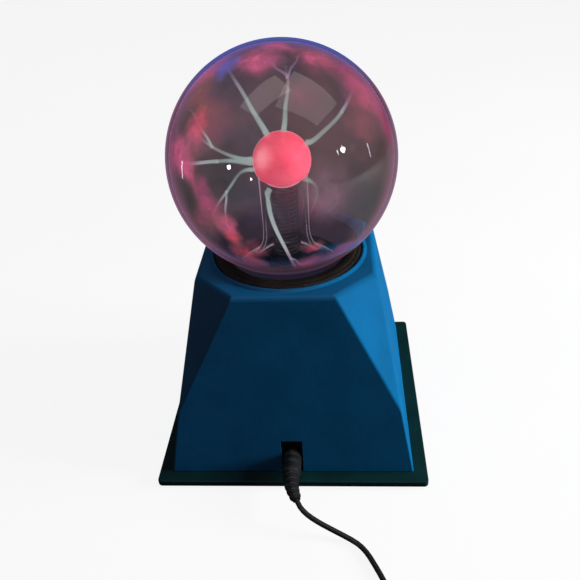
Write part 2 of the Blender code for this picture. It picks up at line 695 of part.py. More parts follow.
def make_small_parts():
    low = PARTS_Z
    cans = (
        ("electrolytic_capacitor_1", -0.0245, -0.0285, 0.0050, 0.0165),
        ("electrolytic_capacitor_2", 0.0105, 0.0060, 0.0032, 0.0110),
    )
    for name, x, y, radius, height in cans:
        profile = [
            (0.0, low + height),
            (radius - 0.0004, low + height),
            (radius, low + height - 0.0005),
            (radius, low + 0.0022),
            (radius - 0.0005, low + 0.0016),
            (radius, low + 0.0010),
            (radius, low),
            (0.0, low),
        ]
        lathe(name, profile, "capacitor_sleeve", segments=16).location = (x, y, 0)
    package = ((-0.0048, 0.0020, low + 0.001), (0.0048, 0.0084, low + 0.0042))
    chip = boxes("timer_chip", [package], "black_plastic")
    for n in range(8):
        x = -0.0038 + (n % 4) * 0.00254
        y0, y1 = ((0.0008, 0.0024), (0.0080, 0.0096))[n // 4]
        leg = ((x - 0.0004, y0, low), (x + 0.0004, y1, low + 0.0024))
        join(chip, boxes(f"chip_leg_{n + 1}", [leg], "nickel"))
    outline = rectangle(-0.0320, -0.0215, 0.0060, 0.0112)
    film = slab("film_capacitor", outline, low, low + 0.0085, "red_insulation")
    round_edges(film, 0.0008)
    capsule = disc_profile(0.0048, low, low + 0.0067, chamfer=0.0005)
    lathe("microphone_capsule", capsule, "aluminium", segments=16).location = (0.0270, 0.0150, 0)
    for n in range(3):
        make_resistor(f"resistor_{n + 1}", -0.0110 + 0.0045 * n, -0.0310)


def make_resistor(name, x, y):
    """An axial resistor lying along Y, its body between two bent leads."""
    low, rise, reach = PARTS_Z, 0.0016, 0.0048
    body = [(0.0, 0.0032), (0.0011, 0.0032), (0.0012, 0.0020), (0.0010, 0.0014), (0.0010, -0.0014)]
    body += [(0.0012, -0.0020), (0.0011, -0.0032), (0.0, -0.0032)]
    made = lathe(name, body, "resistor_body", segments=12)
    made.rotation_euler = (math.pi / 2, 0, 0)
    made.location = (x, y, low + rise)
    half = 0.0003
    leads = [
        ((-half, -reach, -half), (half, reach, half)),
        ((-half, -reach - half, -rise), (half, -reach + half, half)),
        ((-half, reach - half, -rise), (half, reach + half, half)),
    ]
    for n, ((x0, y0, z0), (x1, y1, z1)) in enumerate(leads):
        lead = boxes(f"{name}_lead_{n + 1}", [((x0, y0, z0), (x1, y1, z1))], "nickel")
        lead.location = made.location
        join(made, lead)


def make_socket():
    """The power socket, a block with a bore towards -Y and its contact pin in the middle of the bore."""
    half = 0.0045
    low, high = PARTS_Z, SOCKET_Z + 0.0037
    block = ((SOCKET_X - half, SOCKET_FRONT_Y, low), (SOCKET_X + half, SOCKET_BACK_Y, high))
    socket = boxes("dc_socket", [block], "black_plastic")
    depth = 0.0105
    for name, radius, start, operation in (
        ("socket_bore", BARREL_RADIUS + 0.0004, -0.002, cut),
        ("socket_pin", 0.0010, 0.0010, join),
    ):
        end = depth + (0.001 if operation is join else 0.0)
        tool = cylinders(name, [(0, 0)], radius, -end, -start)
        tool.rotation_euler = (math.pi / 2, 0, 0)
        tool.location = (SOCKET_X, SOCKET_FRONT_Y, SOCKET_Z)
        operation(socket, tool)


def make_switch():
    """The mode switch behind the +Y wall, its slider in the wall's slot, at one end of its travel."""
    inner = -WALL - GAP
    body = wall_box("mode_switch", (-0.0125, 0.0125), (-0.0034, 0.0034), (inner - 0.0065, inner))
    reach = SLIDER_TRAVEL / 2 + 0.0012 + 0.0004
    cut(body, wall_box("switch_well", (-reach, reach), (-0.0014, 0.0014), (inner - 0.0036, inner + 0.001)))
    for n, x in enumerate((-SWITCH_SCREW_X, SWITCH_SCREW_X)):
        hole = cylinders(f"switch_ear_hole_{n + 1}", [(0, 0)], 0.0014, -0.012, 0.002)
        hole.rotation_euler = (-math.pi / 2 + WALL_LEAN, 0, 0)
        hole.location = on_switch_wall(x, 0, 0)
        cut(body, hole)
        outward = on_switch_wall(0, 0, 1) - on_switch_wall(0, 0, 0)
        screw(f"switch_screw_{n + 1}", on_switch_wall(x, 0, GAP), 0.0022, 0.0011, 0.0010, 0.0070, -outward)
    rest = SLIDER_TRAVEL / 2
    axis = on_switch_wall(rest, 0, 0)
    knob = wall_box("mode_slider", (rest - 0.0027, rest + 0.0027), (-0.0017, 0.0017), (-0.0018, 0.0021))
    across, up, out = (rest - 0.0012, rest + 0.0012), (-0.0010, 0.0010), (inner - 0.0032, -0.0010)
    stem = wall_box("slider_stem", across, up, out)
    for piece in (knob, stem):
        piece.data.transform(Matrix.Translation(-axis))
        piece.location = axis
    join(knob, stem)
    low = PARTS_Z
    middle = smooth_through([(0, 0.0215, low + 0.0010), (0, 0.030, low + 0.0035), (0, 0.038, low + 0.0080),
                             on_switch_wall(0, 0.0, inner - 0.0068)], 0.004)
    make_ribbon("switch_ribbon", [(p.y, p.z) for p in middle], 0.0030, 0.0006)


def make_ribbon(name, line, half_width_x, half_thick):
    """A flat cable of the given half width whose middle follows (y, z) points."""
    above, below = [], []
    for k, (y, z) in enumerate(line):
        ahead, behind = line[min(k + 1, len(line) - 1)], line[max(k - 1, 0)]
        along = Vector((ahead[0] - behind[0], ahead[1] - behind[1])).normalized()
        above.append((y - along.y * half_thick, z + along.x * half_thick))
        below.append((y + along.y * half_thick, z - along.x * half_thick))
    bm = bmesh.new()
    slab_into(bm, above + below[::-1], -half_width_x, half_width_x)
    turn = Matrix(((0, 0, 1, 0), (1, 0, 0, 0), (0, 1, 0, 0), (0, 0, 0, 1)))
    bmesh.ops.transform(bm, matrix=turn, verts=bm.verts)
    return add(name, bm, "red_insulation")


# ---- The power lead ----------------------------------------------------------------------------------
def tail_point(s):
    """The middle of the strain relief at the distance s from where it starts to bend."""
    turn = TAIL_TURN * s / TAIL_LENGTH
    bend = TAIL_LENGTH / TAIL_TURN
    sag = 0.0003 * (s / TAIL_LENGTH) ** 2
    x, y = SOCKET_X + bend * (1 - math.cos(turn)), TAIL_START_Y - bend * math.sin(turn)
    return Vector((x, y, SOCKET_Z - sag))


def make_dc_plug():
    """The moulded plug: a straight grip, then a ribbed relief that tapers and bends to the cord."""
    rounding = 0.0008
    centres = [Vector((SOCKET_X, PLUG_FRONT_Y - d, SOCKET_Z)) for d in (0.0, rounding * 0.3, rounding)]
    radii = [PLUG_RADIUS - rounding, PLUG_RADIUS - rounding * 0.3, PLUG_RADIUS]
    centres.append(Vector((SOCKET_X, TAIL_START_Y + 0.001, SOCKET_Z)))
    radii.append(PLUG_RADIUS)
    ribs, thick_end, thin_end, rib = 5, 0.0036, 0.0019, 0.0005
    for n in range(ribs):
        for part, extra in ((0.05, 0.0), (0.15, rib), (0.55, rib), (0.65, 0.0)):
            share = (n + part) / ribs
            centres.append(tail_point(share * TAIL_LENGTH))
            radii.append(thick_end + (thin_end - thick_end) * share + extra)
    centres.append(tail_point(TAIL_LENGTH))
    radii.append(thin_end)
    sweep("dc_plug_body", centres, radii, "black_rubber", segments=16)
    barrel = disc_profile(BARREL_RADIUS, 0.0, BARREL_LENGTH, inner=0.0014, chamfer=0.0002)
    tube = lathe("dc_plug_barrel", barrel, "nickel", segments=16)
    tube.rotation_euler = (-math.pi / 2, 0, 0)
    tube.location = (SOCKET_X, PLUG_FRONT_Y + GAP, SOCKET_Z)


def make_cord():
    wire("power_cord", smooth_through(CORD_TO_COIL, 0.0052), CORD_RADIUS, "black_rubber")
    wire("power_cord_end", smooth_through(CORD_TO_USB, 0.0052), CORD_RADIUS, "black_rubber")
    across = COIL_COLUMNS * TURN_PITCH / 2
    high = COIL_LAYERS * TURN_PITCH
    x, y = COIL_CENTRE
    round_off = CORD_RADIUS * 0.6
    inner, outer = COIL_MEAN_RADIUS - across, COIL_MEAN_RADIUS + across
    profile = [
        (inner + round_off, high),
        (outer - round_off, high),
        (outer, high - round_off),
        (outer, round_off),
        (outer - round_off, 0.0),
        (inner + round_off, 0.0),
        (inner, round_off),
        (inner, high - round_off),
    ]
    coil = lathe("cord_coil", profile, "black_rubber", segments=32)
    coil.location = (x, y, 0)
    band, half = 0.0008, COIL_TIE_WIDTH / 2
    under = ((x - outer - 0.002, y - half - GAP, -0.001), (x - inner + 0.002, y + half + GAP, band + GAP))
    cut(coil, boxes("tie_groove", [under], "tie_plastic"))
    x0, x1, z1 = x - outer - GAP, x - inner + GAP, high + GAP
    around = ((x0 - band, y - half, 0.0), (x1 + band, y + half, z1 + band))
    tie = boxes("cable_tie", [around], "tie_plastic")
    cut(tie, boxes("tie_opening", [((x0, y - 0.01, band), (x1, y + 0.01, z1))], "tie_plastic"))
    middle = (x0 + x1) / 2
    half_head = half + 0.0007
    low_corner = (middle - 0.0022, y - half_head, z1 + 0.0003)
    head = (low_corner, (middle + 0.0022, y + half_head, z1 + 0.0032))
    join(tie, boxes("tie_head", [head], "tie_plastic"))


def make_usb_plug():
    length, width, height = USB_BODY
    outline = rounded_rectangle(length, width, 0.0022)
    body = slab("usb_plug_body", outline, 0.0, height, "black_rubber")
    body.location = (USB_CENTRE.x, USB_CENTRE.y, 0.0)
    round_edges(body, 0.0012)
    start = USB_CENTRE.x + length / 2
    stations = [-0.002, 0.0, 0.0004, 0.0035, 0.0039, 0.0044, 0.0070, 0.0074, USB_RELIEF_LENGTH]
    radii = [0.0030, 0.0030, 0.0030, 0.0028, 0.0022, 0.0026, 0.0024, 0.0020, 0.0018]
    centres = [(start + s, USB_CENTRE.y, USB_CENTRE.z) for s in stations]
    join(body, sweep("usb_relief", centres, radii, "black_rubber"))
    shell_length, shell_width, shell_height = USB_SHELL
    front = USB_CENTRE.x - length / 2 - GAP
    x0, x1 = front - shell_length, front
    y0, y1 = USB_CENTRE.y - shell_width / 2, USB_CENTRE.y + shell_width / 2
    z0, z1 = USB_CENTRE.z - shell_height / 2, USB_CENTRE.z + shell_height / 2
    sheet = 0.0003
    shell = boxes("usb_plug_shell", [((x0, y0, z0), (x1, y1, z1))], "nickel")
    hollow = ((x0 - 0.001, y0 + sheet, z0 + sheet), (x1 + 0.001, y1 - sheet, z1 - sheet))
    cut(shell, boxes("shell_hollow", [hollow], "nickel"))
    inside = sheet + GAP
    tongue = ((x0 + 0.0012, y0 + inside, z0 + inside), (x1, y1 - inside, z0 + inside + 0.0017))
    boxes("usb_plug_tongue", [tongue], "natural_plastic")


LEAD_PIECES = (
    "dc_plug_body",
    "dc_plug_barrel",
    "power_cord",
    "power_cord_end",
    "cord_coil",
    "cable_tie",
    "usb_plug_body",
    "usb_plug_shell",
    "usb_plug_tongue",
)


def hang_lead_on_its_axis():
    """Parents the lead's pieces to an empty on the line along which the plug pulls out."""
    at = Vector((SOCKET_X, PLUG_FRONT_Y, SOCKET_Z))
    axis = bpy.data.objects.new("power_lead_axis", None)
    axis.location = at
    bpy.context.scene.collection.objects.link(axis)
    for name in LEAD_PIECES:
        piece = bpy.data.objects[name]
        piece.parent = axis
        piece.matrix_parent_inverse = Matrix.Translation(-at)


def main():
    clear_scene()
    make_base()
    make_globe()
    make_stem()
    make_neck_fittings()
    make_board()
    make_flyback()
    make_transistor()
    make_small_parts()
    make_socket()
    make_switch()
    make_dc_plug()
    make_cord()
    make_usb_plug()
    hang_lead_on_its_axis()


main()
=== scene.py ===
"""The looks of a plasma ball: glass globe, glowing gas and streamers, blue housing, and its power lead."""

import json
from math import acos, asin, atan, cos, exp, pi, radians, sin, sqrt

import bmesh
import bpy
from mathutils import Matrix, Vector


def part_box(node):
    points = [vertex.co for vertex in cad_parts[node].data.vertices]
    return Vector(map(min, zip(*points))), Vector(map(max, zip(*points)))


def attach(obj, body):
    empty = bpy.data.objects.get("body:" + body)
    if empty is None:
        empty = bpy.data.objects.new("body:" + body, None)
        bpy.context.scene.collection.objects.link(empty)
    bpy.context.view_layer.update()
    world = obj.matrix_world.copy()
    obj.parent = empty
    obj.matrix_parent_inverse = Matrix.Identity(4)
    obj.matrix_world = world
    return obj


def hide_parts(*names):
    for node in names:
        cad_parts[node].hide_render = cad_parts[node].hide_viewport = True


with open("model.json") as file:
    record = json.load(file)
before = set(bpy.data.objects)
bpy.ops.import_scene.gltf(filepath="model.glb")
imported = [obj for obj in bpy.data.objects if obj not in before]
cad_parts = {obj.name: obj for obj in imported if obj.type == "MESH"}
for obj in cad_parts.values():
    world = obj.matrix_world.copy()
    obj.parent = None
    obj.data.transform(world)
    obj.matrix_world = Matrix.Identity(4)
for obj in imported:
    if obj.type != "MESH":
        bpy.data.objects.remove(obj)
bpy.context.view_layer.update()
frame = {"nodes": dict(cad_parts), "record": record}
NODES = frame["nodes"]

# ---- Sizes and places, in metres ---------
CAMERA_AT = (0.026267, -0.287288, 0.256734)
CAMERA_TURN, CAMERA_TILT, CAMERA_ROLL = 5.282, 57.166, -3.894  # degrees
CAMERA_LENS = 43.05

GAP = 0.0003  # the clearance between neighbouring pieces
MERGE_DISTANCE = 1e-6
CYLINDER_SIDES = 32
PLATE_THICKNESS = 0.0031
PLATE_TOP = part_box("base_plate")[0].z + PLATE_THICKNESS
HOUSING_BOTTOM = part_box("housing")[0].z
HOUSING_TOP = 0.0934
HOUSING_HALF_BOTTOM = 0.0576
HOUSING_HALF_TOP = 0.0411
OCTAGON_HALF_EDGE = 0.0226
FACET_APEX_Z = 0.0369
HOUSING_ROUNDING = 0.0022
SLANTED_EDGE_SHARE = 0.35  # of that rounding, on the edges that run up the sides
WALL = 0.0022
POST_AT = 0.046
POST_RADIUS = 0.0035
POST_TOP = 0.043
POST_HOLE_RADIUS = 0.0017
POST_HOLE_TOP = 0.0185
NECK_RADIUS = 0.0272
NECK_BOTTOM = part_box("glass_globe")[0].z
RECESS_RADIUS = 0.0352
RECESS_FLOOR = 0.0922
LEDGE_BOTTOM = 0.0898
LEDGE_RADIUS = 0.0388
BEAD_WIDTH = 0.0026
BEAD_HEIGHT = 0.0009
RETAINER_SCREW_AT = 0.0330
LEDGE_HOLE_RADIUS = 0.0013
LEDGE_HOLE_ENDS = (0.0885, 0.0917)
CUT_PAST = 0.002  # how far a cut goes on past the faces that it opens
OVERLAP = 0.0008  # how deep joined solids go into each other
MOUTH_ROUNDING = 0.0008
MOUTH_CLEARANCE = 0.0008
GASKET_SHOULDER = 0.0934
GASKET_CROWN = 0.0950

GLOBE_RADIUS = 0.0508
GLOBE_CENTRE = Vector((0, 0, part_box("glass_globe")[1].z - GLOBE_RADIUS))
GLASS = 0.0015
GLASS_IOR = 1.47
NECK_FILLET = 0.0040
NECK_EDGE = (0.0004, 0.0003)  # the bevel at the neck's rim, across and up
GAS_RADIUS = GLOBE_RADIUS - GLASS - GAP
GAS_BOTTOM = 0.0880
GLOW_FALL = 1.7  # the power by which a glow fades from its middle
BULB_RADIUS = 0.013
BULB_CENTRE = Vector((0, 0, 0.1388))
STEM_RADIUS = 0.0108
STEM_GLASS = 0.0012
COATING = 0.00005
# The flare that joins the stem to the neck: radius, height
STEM_FLARE = [
    (0.0253, 0.0815), (0.0243, 0.0842), (0.0212, 0.0868), (0.0175, 0.0895),
    (0.0145, 0.0928), (0.0124, 0.0967), (0.0112, 0.1010), (0.0108, 0.1060),
]
PLUG_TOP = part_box("stem_plug")[1].z
SPRING_RADIUS = 0.006
SPRING_WIRE = 0.0006
SPRING_PITCH = 0.002
SPRING_TURNS = 17

SOCKET_X = 0.0005
SOCKET_Z = 0.0115
NOTCH_WIDTH = 0.0102
NOTCH_TOP = 0.0215
NOTCH_ENDS_Y = (-0.065, -0.045)
SWITCH_Z = 0.016
SWITCH_SLOT = (0.0051, 0.0021)  # half its length and half its height
SWITCH_SCREW_X = 0.0095
SWITCH_HOLE_RADIUS = 0.0014
SLIDER_TRAVEL = 0.004
# Screws: the head's radius and height, the shank's radius and length
HOUSING_SCREW = (0.0029, 0.0014, 0.0014, 0.014)
WALL_SCREW = (0.0022, 0.0011, 0.0010, 0.0070)

CORD_RADIUS = 0.0012
PLUG_RADIUS = 0.0045
PLUG_FRONT_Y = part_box("dc_plug_body")[1].y
PLUG_ROUNDING = 0.0008
TAIL_START_Y = -0.066
TAIL_LENGTH = 0.0145
TAIL_TURN = 0.45  # radians
TAIL_SAG = 0.0003
TAIL_RADII = (0.0036, 0.0019)
TAIL_RIBS = 5
RIB_HEIGHT = 0.0005
# One rib of the strain relief: the share of its length, the share of its height
RIB_PROFILE = [(0.03, 0.0), (0.08, 0.7), (0.18, 1.0), (0.50, 1.0), (0.60, 0.7), (0.66, 0.0), (0.97, 0.0)]
GROOVE_DEPTH = 0.0003
# The grip: the share of its length, and whether it is a groove deep there
GRIP_PROFILE = [(0.25, 0), (0.30, 1), (0.36, 1), (0.41, 0), (0.60, 0), (0.65, 1), (0.71, 1), (0.76, 0)]
GRIP_PROFILE += [(0.97, 0), (1.0, 1)]
COIL_CENTRE = (0.030, -0.142)
TURN_PITCH = 0.00245
COIL_COLUMNS = 3
COIL_LAYERS = 4
COIL_MEAN_RADIUS = 0.0132
COIL_TURNS = 11.25
POINTS_PER_TURN = 24
STEP_SHARE = 0.22  # the share of a turn in which the cord steps over to its next place
TIE_WIDTH = 0.003
TIE_BAND = 0.0008
TIE_HEAD_DROP = 0.0032  # from the head's top to the strap's inner face
TIE_TEETH = 7
TOOTH_PITCH = 0.0011
TOOTH_SIZE = (0.0018, 0.0005)
HEAD_REACH = (0.0022, 0.0007)  # along the strap from its middle, and past the strap's sides
USB_CENTRE = Vector((-0.020, -0.1577, 0.0040))
USB_BODY = (0.028, 0.0155, 0.0080)
USB_GROOVES = 4
USB_GROOVE_PITCH = 0.0030
USB_GROOVE = (0.0012, 0.0045, 0.0004)  # its width, half length and depth
# The USB plug's strain relief: the distance from the grip's end, the radius
USB_RELIEF = [
    (-0.002, 0.0031), (0.0006, 0.0031), (0.0010, 0.0026), (0.0022, 0.0026), (0.0026, 0.0030),
    (0.0038, 0.0029), (0.0042, 0.0023), (0.0054, 0.0023), (0.0058, 0.0026), (0.0070, 0.0025),
    (0.0074, 0.0020), (0.0086, 0.0019), (0.0100, 0.0018),
]

# The middle of the cord where it lies free
CORD_TO_COIL = [
    (0.0037, -0.0803, 0.0112), (0.0054, -0.0836, 0.0107), (0.0084, -0.0864, 0.0094),
    (0.0130, -0.0884, 0.0071), (0.0190, -0.0902, 0.0044), (0.0250, -0.0922, 0.0022),
    (0.0302, -0.0951, 0.0013), (0.0338, -0.0992, 0.0012), (0.0364, -0.1040, 0.0012),
    (0.0386, -0.1086, 0.0012), (0.0405, -0.1130, 0.0012), (0.0428, -0.1190, 0.0012),
    (0.0446, -0.1255, 0.0012), (0.0456, -0.1318, 0.0012),
]
CORD_TO_USB = [
    (0.0200, -0.1577, 0.0083), (0.0160, -0.1577, 0.0074), (0.0120, -0.1577, 0.0060),
    (0.0080, -0.1577, 0.0047), (0.0043, -0.1577, 0.0040),
]


# ---- Making things -----------------------
def link(name, data):
    made = bpy.data.objects.new(name, data)
    bpy.context.scene.collection.objects.link(made)
    return made


def keep_sharp(obj, degrees):
    obj.data.set_sharp_from_angle(angle=radians(degrees))


def add(name, bm):
    """Turns a bmesh into an object whose faces point out, smooth except across sharp edges."""
    bm.normal_update()
    bmesh.ops.recalc_face_normals(bm, faces=bm.faces)
    mesh = bpy.data.meshes.new(name)
    bm.to_mesh(mesh)
    bm.free()
    mesh.shade_smooth()
    made = link(name, mesh)
    keep_sharp(made, 35)
    return made


def piece(made, body, slot, *nodes):
    """Puts a piece on its body, with the finish of its slot and the CAD nodes that it stands for."""
    made.data.materials.append(FINISHES[slot])
    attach(made, body)
    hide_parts(*nodes)
    return made


def light_piece(made, finish):
    """Puts a piece of light on the base."""
    made.data.materials.append(finish)
    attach(made, "base")


def lathe(name, profile, segments=96, closed=True):
    """Spins an outline of (radius, height) points round the vertical axis."""
    bm = bmesh.new()
    verts = [bm.verts.new((r, 0, z)) for r, z in profile]
    ends = verts[1:] + verts[:1] if closed else verts[1:]
    edges = [bm.edges.new(pair) for pair in zip(verts, ends)]
    geom = verts + edges
    bmesh.ops.spin(bm, geom=geom, axis=(0, 0, 1), angle=2 * pi, steps=segments, use_merge=True)
    bmesh.ops.remove_doubles(bm, verts=bm.verts, dist=MERGE_DISTANCE)
    bmesh.ops.delete(bm, geom=[e for e in bm.edges if not e.link_faces], context="EDGES")
    return add(name, bm)


def rectangle(x0, x1, y0, y1):
    return [(x0, y0), (x1, y0), (x1, y1), (x0, y1)]


def box(name, low, high):
    bm = bmesh.new()
    outline = rectangle(low[0], high[0], low[1], high[1])
    face = bm.faces.new([bm.verts.new((x, y, low[2])) for x, y in outline])
    raised = bmesh.ops.extrude_face_region(bm, geom=[face])["geom"]
    verts = [v for v in raised if isinstance(v, bmesh.types.BMVert)]
    bmesh.ops.translate(bm, vec=(0, 0, high[2] - low[2]), verts=verts)
    return add(name, bm)


def cylinders(name, places, radius, low, high):
    """One object of several upright cylinders at the (x, y) places."""
    bm = bmesh.new()
    sizes = {"radius1": radius, "radius2": radius, "depth": high - low}
    for x, y in places:
        middle = Matrix.Translation((x, y, (low + high) / 2))
        bmesh.ops.create_cone(bm, cap_ends=True, segments=CYLINDER_SIDES, matrix=middle, **sizes)
    return add(name, bm)


def sweep(name, centres, radii, segments=24):
    """Joins rings of the given radii along a line of centres, closed at both ends."""
    bm = bmesh.new()
    points = [Vector(p) for p in centres]
    side = None
    rings = []
    for k, (centre, radius) in enumerate(zip(points, radii)):
        along = (points[min(k + 1, len(points) - 1)] - points[max(k - 1, 0)]).normalized()
        if side is None:
            side = along.cross(Vector((0, 0, 1)) if abs(along.z) < 0.9 else Vector((1, 0, 0)))
        side = (side - along * side.dot(along)).normalized()
        up = side.cross(along)
        turns = [2 * pi * n / segments for n in range(segments)]
        spokes = [side * cos(t) + up * sin(t) for t in turns]
        rings.append([bm.verts.new(centre + radius * spoke) for spoke in spokes])
    for low, high in zip(rings, rings[1:]):
        for n in range(segments):
            m = (n + 1) % segments
            bm.faces.new((low[n], low[m], high[m], high[n]))
    bm.faces.new(rings[0])
    bm.faces.new(rings[-1])
    return add(name, bm)


def wire(name, points, radius, resolution=4):
    """A round wire or cord along the points, one open spline."""
    curve = bpy.data.curves.new(name, "CURVE")
    curve.dimensions = "3D"
    curve.bevel_depth = radius
    curve.bevel_resolution = resolution
    curve.use_fill_caps = True
    line = curve.splines.new("POLY")
    line.points.add(len(points) - 1)
    for spot, place in zip(line.points, points):
        spot.co = (*place, 1.0)
    line.use_smooth = True
    return link(name, curve)


def smooth_through(route, spacing):
    """Points about spacing apart on a Catmull-Rom curve through the route's points."""
    points = [Vector(p) for p in route]
    ends = [points[0] * 2 - points[1]] + points + [points[-1] * 2 - points[-2]]
    found = [points[0]]
    for a, b, c, d in zip(ends, ends[1:], ends[2:], ends[3:]):
        steps = max(1, round((c - b).length / spacing))
        for k in range(1, steps + 1):
            t = k / steps
            quadratic = (2 * a - 5 * b + 4 * c - d) * t**2
            cubic = (3 * b - a - 3 * c + d) * t**3
            found.append(0.5 * (2 * b + (c - a) * t + quadratic + cubic))
    return found


def combine(target, tool, operation="DIFFERENCE"):
    """Cuts the tool from the target, or joins it to it, and removes the tool."""
    step = target.modifiers.new(tool.name, "BOOLEAN")
    step.operation = operation
    step.solver = "EXACT"
    step.object = tool
    settle(target)
    bpy.data.objects.remove(tool, do_unlink=True)


def settle(obj):
    """Makes the object's mesh what its modifiers give."""
    graph = bpy.context.evaluated_depsgraph_get()
    mesh = bpy.data.meshes.new_from_object(obj.evaluated_get(graph))
    obj.modifiers.clear()
    obj.data = mesh


def rounded_edges(obj, width, segments, angle):
    """A modifier that rounds the edges where faces meet at more than the angle in degrees."""
    step = obj.modifiers.new("rounded_edges", "BEVEL")
    step.width = width
    step.segments = segments
    step.limit_method = "ANGLE"
    step.angle_limit = radians(angle)


def bevel(obj, width, segments=3):
    rounded_edges(obj, width, segments, 40)
    settle(obj)
    obj.data.shade_smooth()
    keep_sharp(obj, 50)


def corners_of(distance):
    """The corners of a square that reaches the distance along both axes, anticlockwise from +X +Y."""
    return [(distance, distance), (-distance, distance), (-distance, -distance), (distance, -distance)]


def quarter_turns(steps):
    return [pi / 2 * k / steps for k in range(steps + 1)]


def arc(radius, centre_z, start, end, steps):
    """(radius, height) points on a circle about the axis, its angles from the equator in radians."""
    turns = [start + (end - start) * k / steps for k in range(steps + 1)]
    return [(max(0.0, radius * cos(t)), centre_z + radius * sin(t)) for t in turns]


# ---- Materials ---------------------------
def feed(tree, node, inputs):
    """Gives each named input of the node a link from a socket, or a value."""
    for name, value in inputs.items():
        if isinstance(value, bpy.types.NodeSocket):
            tree.links.new(value, node.inputs[name])
        else:
            node.inputs[name].default_value = value


def add_node(tree, kind, inputs=None, **settings):
    """A new shader node with those settings, its inputs being sockets to link from, or values."""
    made = tree.nodes.new("ShaderNode" + kind)
    for name, value in settings.items():
        setattr(made, name, value)
    feed(tree, made, inputs or {})
    return made


def add_math(tree, operation, first, second):
    return add_node(tree, "Math", {0: first, 1: second}, operation=operation).outputs["Value"]


def add_vector_math(tree, operation, *values, output="Vector"):
    inputs = dict(enumerate(values))
    return add_node(tree, "VectorMath", inputs, operation=operation).outputs[output]


def add_mix(tree, factor, low, high):
    """The colour low where the factor is 0, and high where it is 1."""
    return add_node(tree, "Mix", {0: factor, 6: low, 7: high}, data_type="RGBA").outputs[2]


def add_bump(tree, height, depth):
    values = {"Height": height, "Strength": 1.0, "Distance": depth}
    return add_node(tree, "Bump", values).outputs["Normal"]


def object_place(tree):
    return add_node(tree, "TexCoord").outputs["Object"]


def height_of(tree, vector):
    return add_node(tree, "SeparateXYZ", {0: vector}).outputs["Z"]


def add_facing(tree):
    """0 where a face is seen square on, 1 at its silhouette."""
    return add_node(tree, "LayerWeight", {"Blend": 0.5}).outputs["Facing"]


def is_ray(tree, kind):
    return add_node(tree, "LightPath").outputs[f"Is {kind} Ray"]


def new_material(name):
    """A material, its node tree and its main shader."""
    made = bpy.data.materials.new(name)
    made.use_nodes = True
    return made, made.node_tree, made.node_tree.nodes["Principled BSDF"]


def noise(tree, place, scale, detail=3.0, output="Fac", roughness=0.5):
    values = {"Vector": place, "Scale": scale, "Detail": detail, "Roughness": roughness}
    return add_node(tree, "TexNoise", values).outputs[output]


def ramp(tree, factor, low, high, start=0.3, end=0.7):
    """A colour between low and high as the factor goes from start to end."""
    made = add_node(tree, "ValToRGB", {"Fac": factor})
    stops = made.color_ramp.elements
    stops[0].position, stops[1].position = start, end
    stops[0].color, stops[1].color = (*low, 1.0), (*high, 1.0)
    return made.outputs["Color"]


def spread(tree, value, from_low, from_high, to_low, to_high, kind="LINEAR"):
    """The value's first range stretched over the second one, and held at its ends."""
    values = {"Value": value, "From Min": from_low, "From Max": from_high}
    values.update({"To Min": to_low, "To Max": to_high})
    return add_node(tree, "MapRange", values, interpolation_type=kind).outputs["Result"]


def fade(tree, *values):
    """As spread, with a smooth start and end."""
    return spread(tree, *values, kind="SMOOTHSTEP")


def scaled(colour, by):
    return tuple(min(1.0, c * by) for c in colour)


def surface(name, colour, roughness, grain, height, mottle=0.15, metallic=0.0, specks=0.0, specular=0.5):
    """A plastic, rubber or metal: uneven colour and gloss, a fine grain, and wear specks if asked for."""
    made, tree, shader = new_material(name)
    place = object_place(tree)
    cloud = noise(tree, place, 60.0, 4.0)
    fine = noise(tree, place, grain, 3.0, roughness=0.6)
    tint = ramp(tree, cloud, scaled(colour, 1 - mottle), scaled(colour, 1 + mottle))
    if specks:
        dust = ramp(tree, noise(tree, place, 1500.0, 2.0), (0, 0, 0), (1, 1, 1), 0.66, 0.74)
        light = (*scaled([c + 0.10 for c in colour], 2.0), 1.0)
        tint = add_mix(tree, add_math(tree, "MULTIPLY", dust, specks), tint, light)
    swing = 0.06  # how far the gloss varies
    feed(tree, shader, {
        "Base Color": tint,
        "Roughness": spread(tree, cloud, 0.3, 0.7, roughness - swing, roughness + swing),
        "Metallic": metallic,
        "Specular IOR Level": specular,
        "Normal": add_bump(tree, fine, height),
    })
    return made


def end_in_mix(tree, factor, first, second):
    """Ends a material in the first shader where the factor is 0, and the second where it is 1."""
    both = add_node(tree, "MixShader", {0: factor, 1: first, 2: second})
    tree.links.new(both.outputs["Shader"], tree.nodes["Material Output"].inputs["Surface"])


def glass(name, tint, painted_rim_upper, painted_rim_lower, edge_start, dim):
    """Clear glass with faint smears and painted light along its edges, through which lamps still light
    what is inside.
    """
    made, tree, shader = new_material(name)
    place = object_place(tree)
    smear = noise(tree, place, 35.0, 5.0)
    height = height_of(tree, place)
    middle = GLOBE_CENTRE.z
    # Painted light: the emission below is a painted rim glow along the globe's edges, violet at the top,
    # pink at the sides and dimmer low down; on the stem it paints bright edge highlights.
    upper = fade(tree, height, middle + 0.028, middle + 0.046, 0.0, 1.0)
    painted_rim_fade = fade(tree, height, middle - 0.044, middle - 0.020, dim, 1.0)
    grazing = fade(tree, add_facing(tree), edge_start, 0.98, 0.0, 1.0)
    feed(tree, shader, {
        "Roughness": spread(tree, smear, 0.45, 0.75, 0.0, 0.03),
        "Base Color": (*tint, 1.0),
        "Transmission Weight": 1.0,
        "IOR": GLASS_IOR,
        "Emission Color": add_mix(tree, upper, (*painted_rim_lower, 1.0), (*painted_rim_upper, 1.0)),
        "Emission Strength": add_math(tree, "MULTIPLY", grazing, painted_rim_fade),
    })
    clear = add_node(tree, "BsdfTransparent", {"Color": (*tint, 1.0)}).outputs["BSDF"]
    end_in_mix(tree, is_ray(tree, "Shadow"), shader.outputs["BSDF"], clear)
    return made


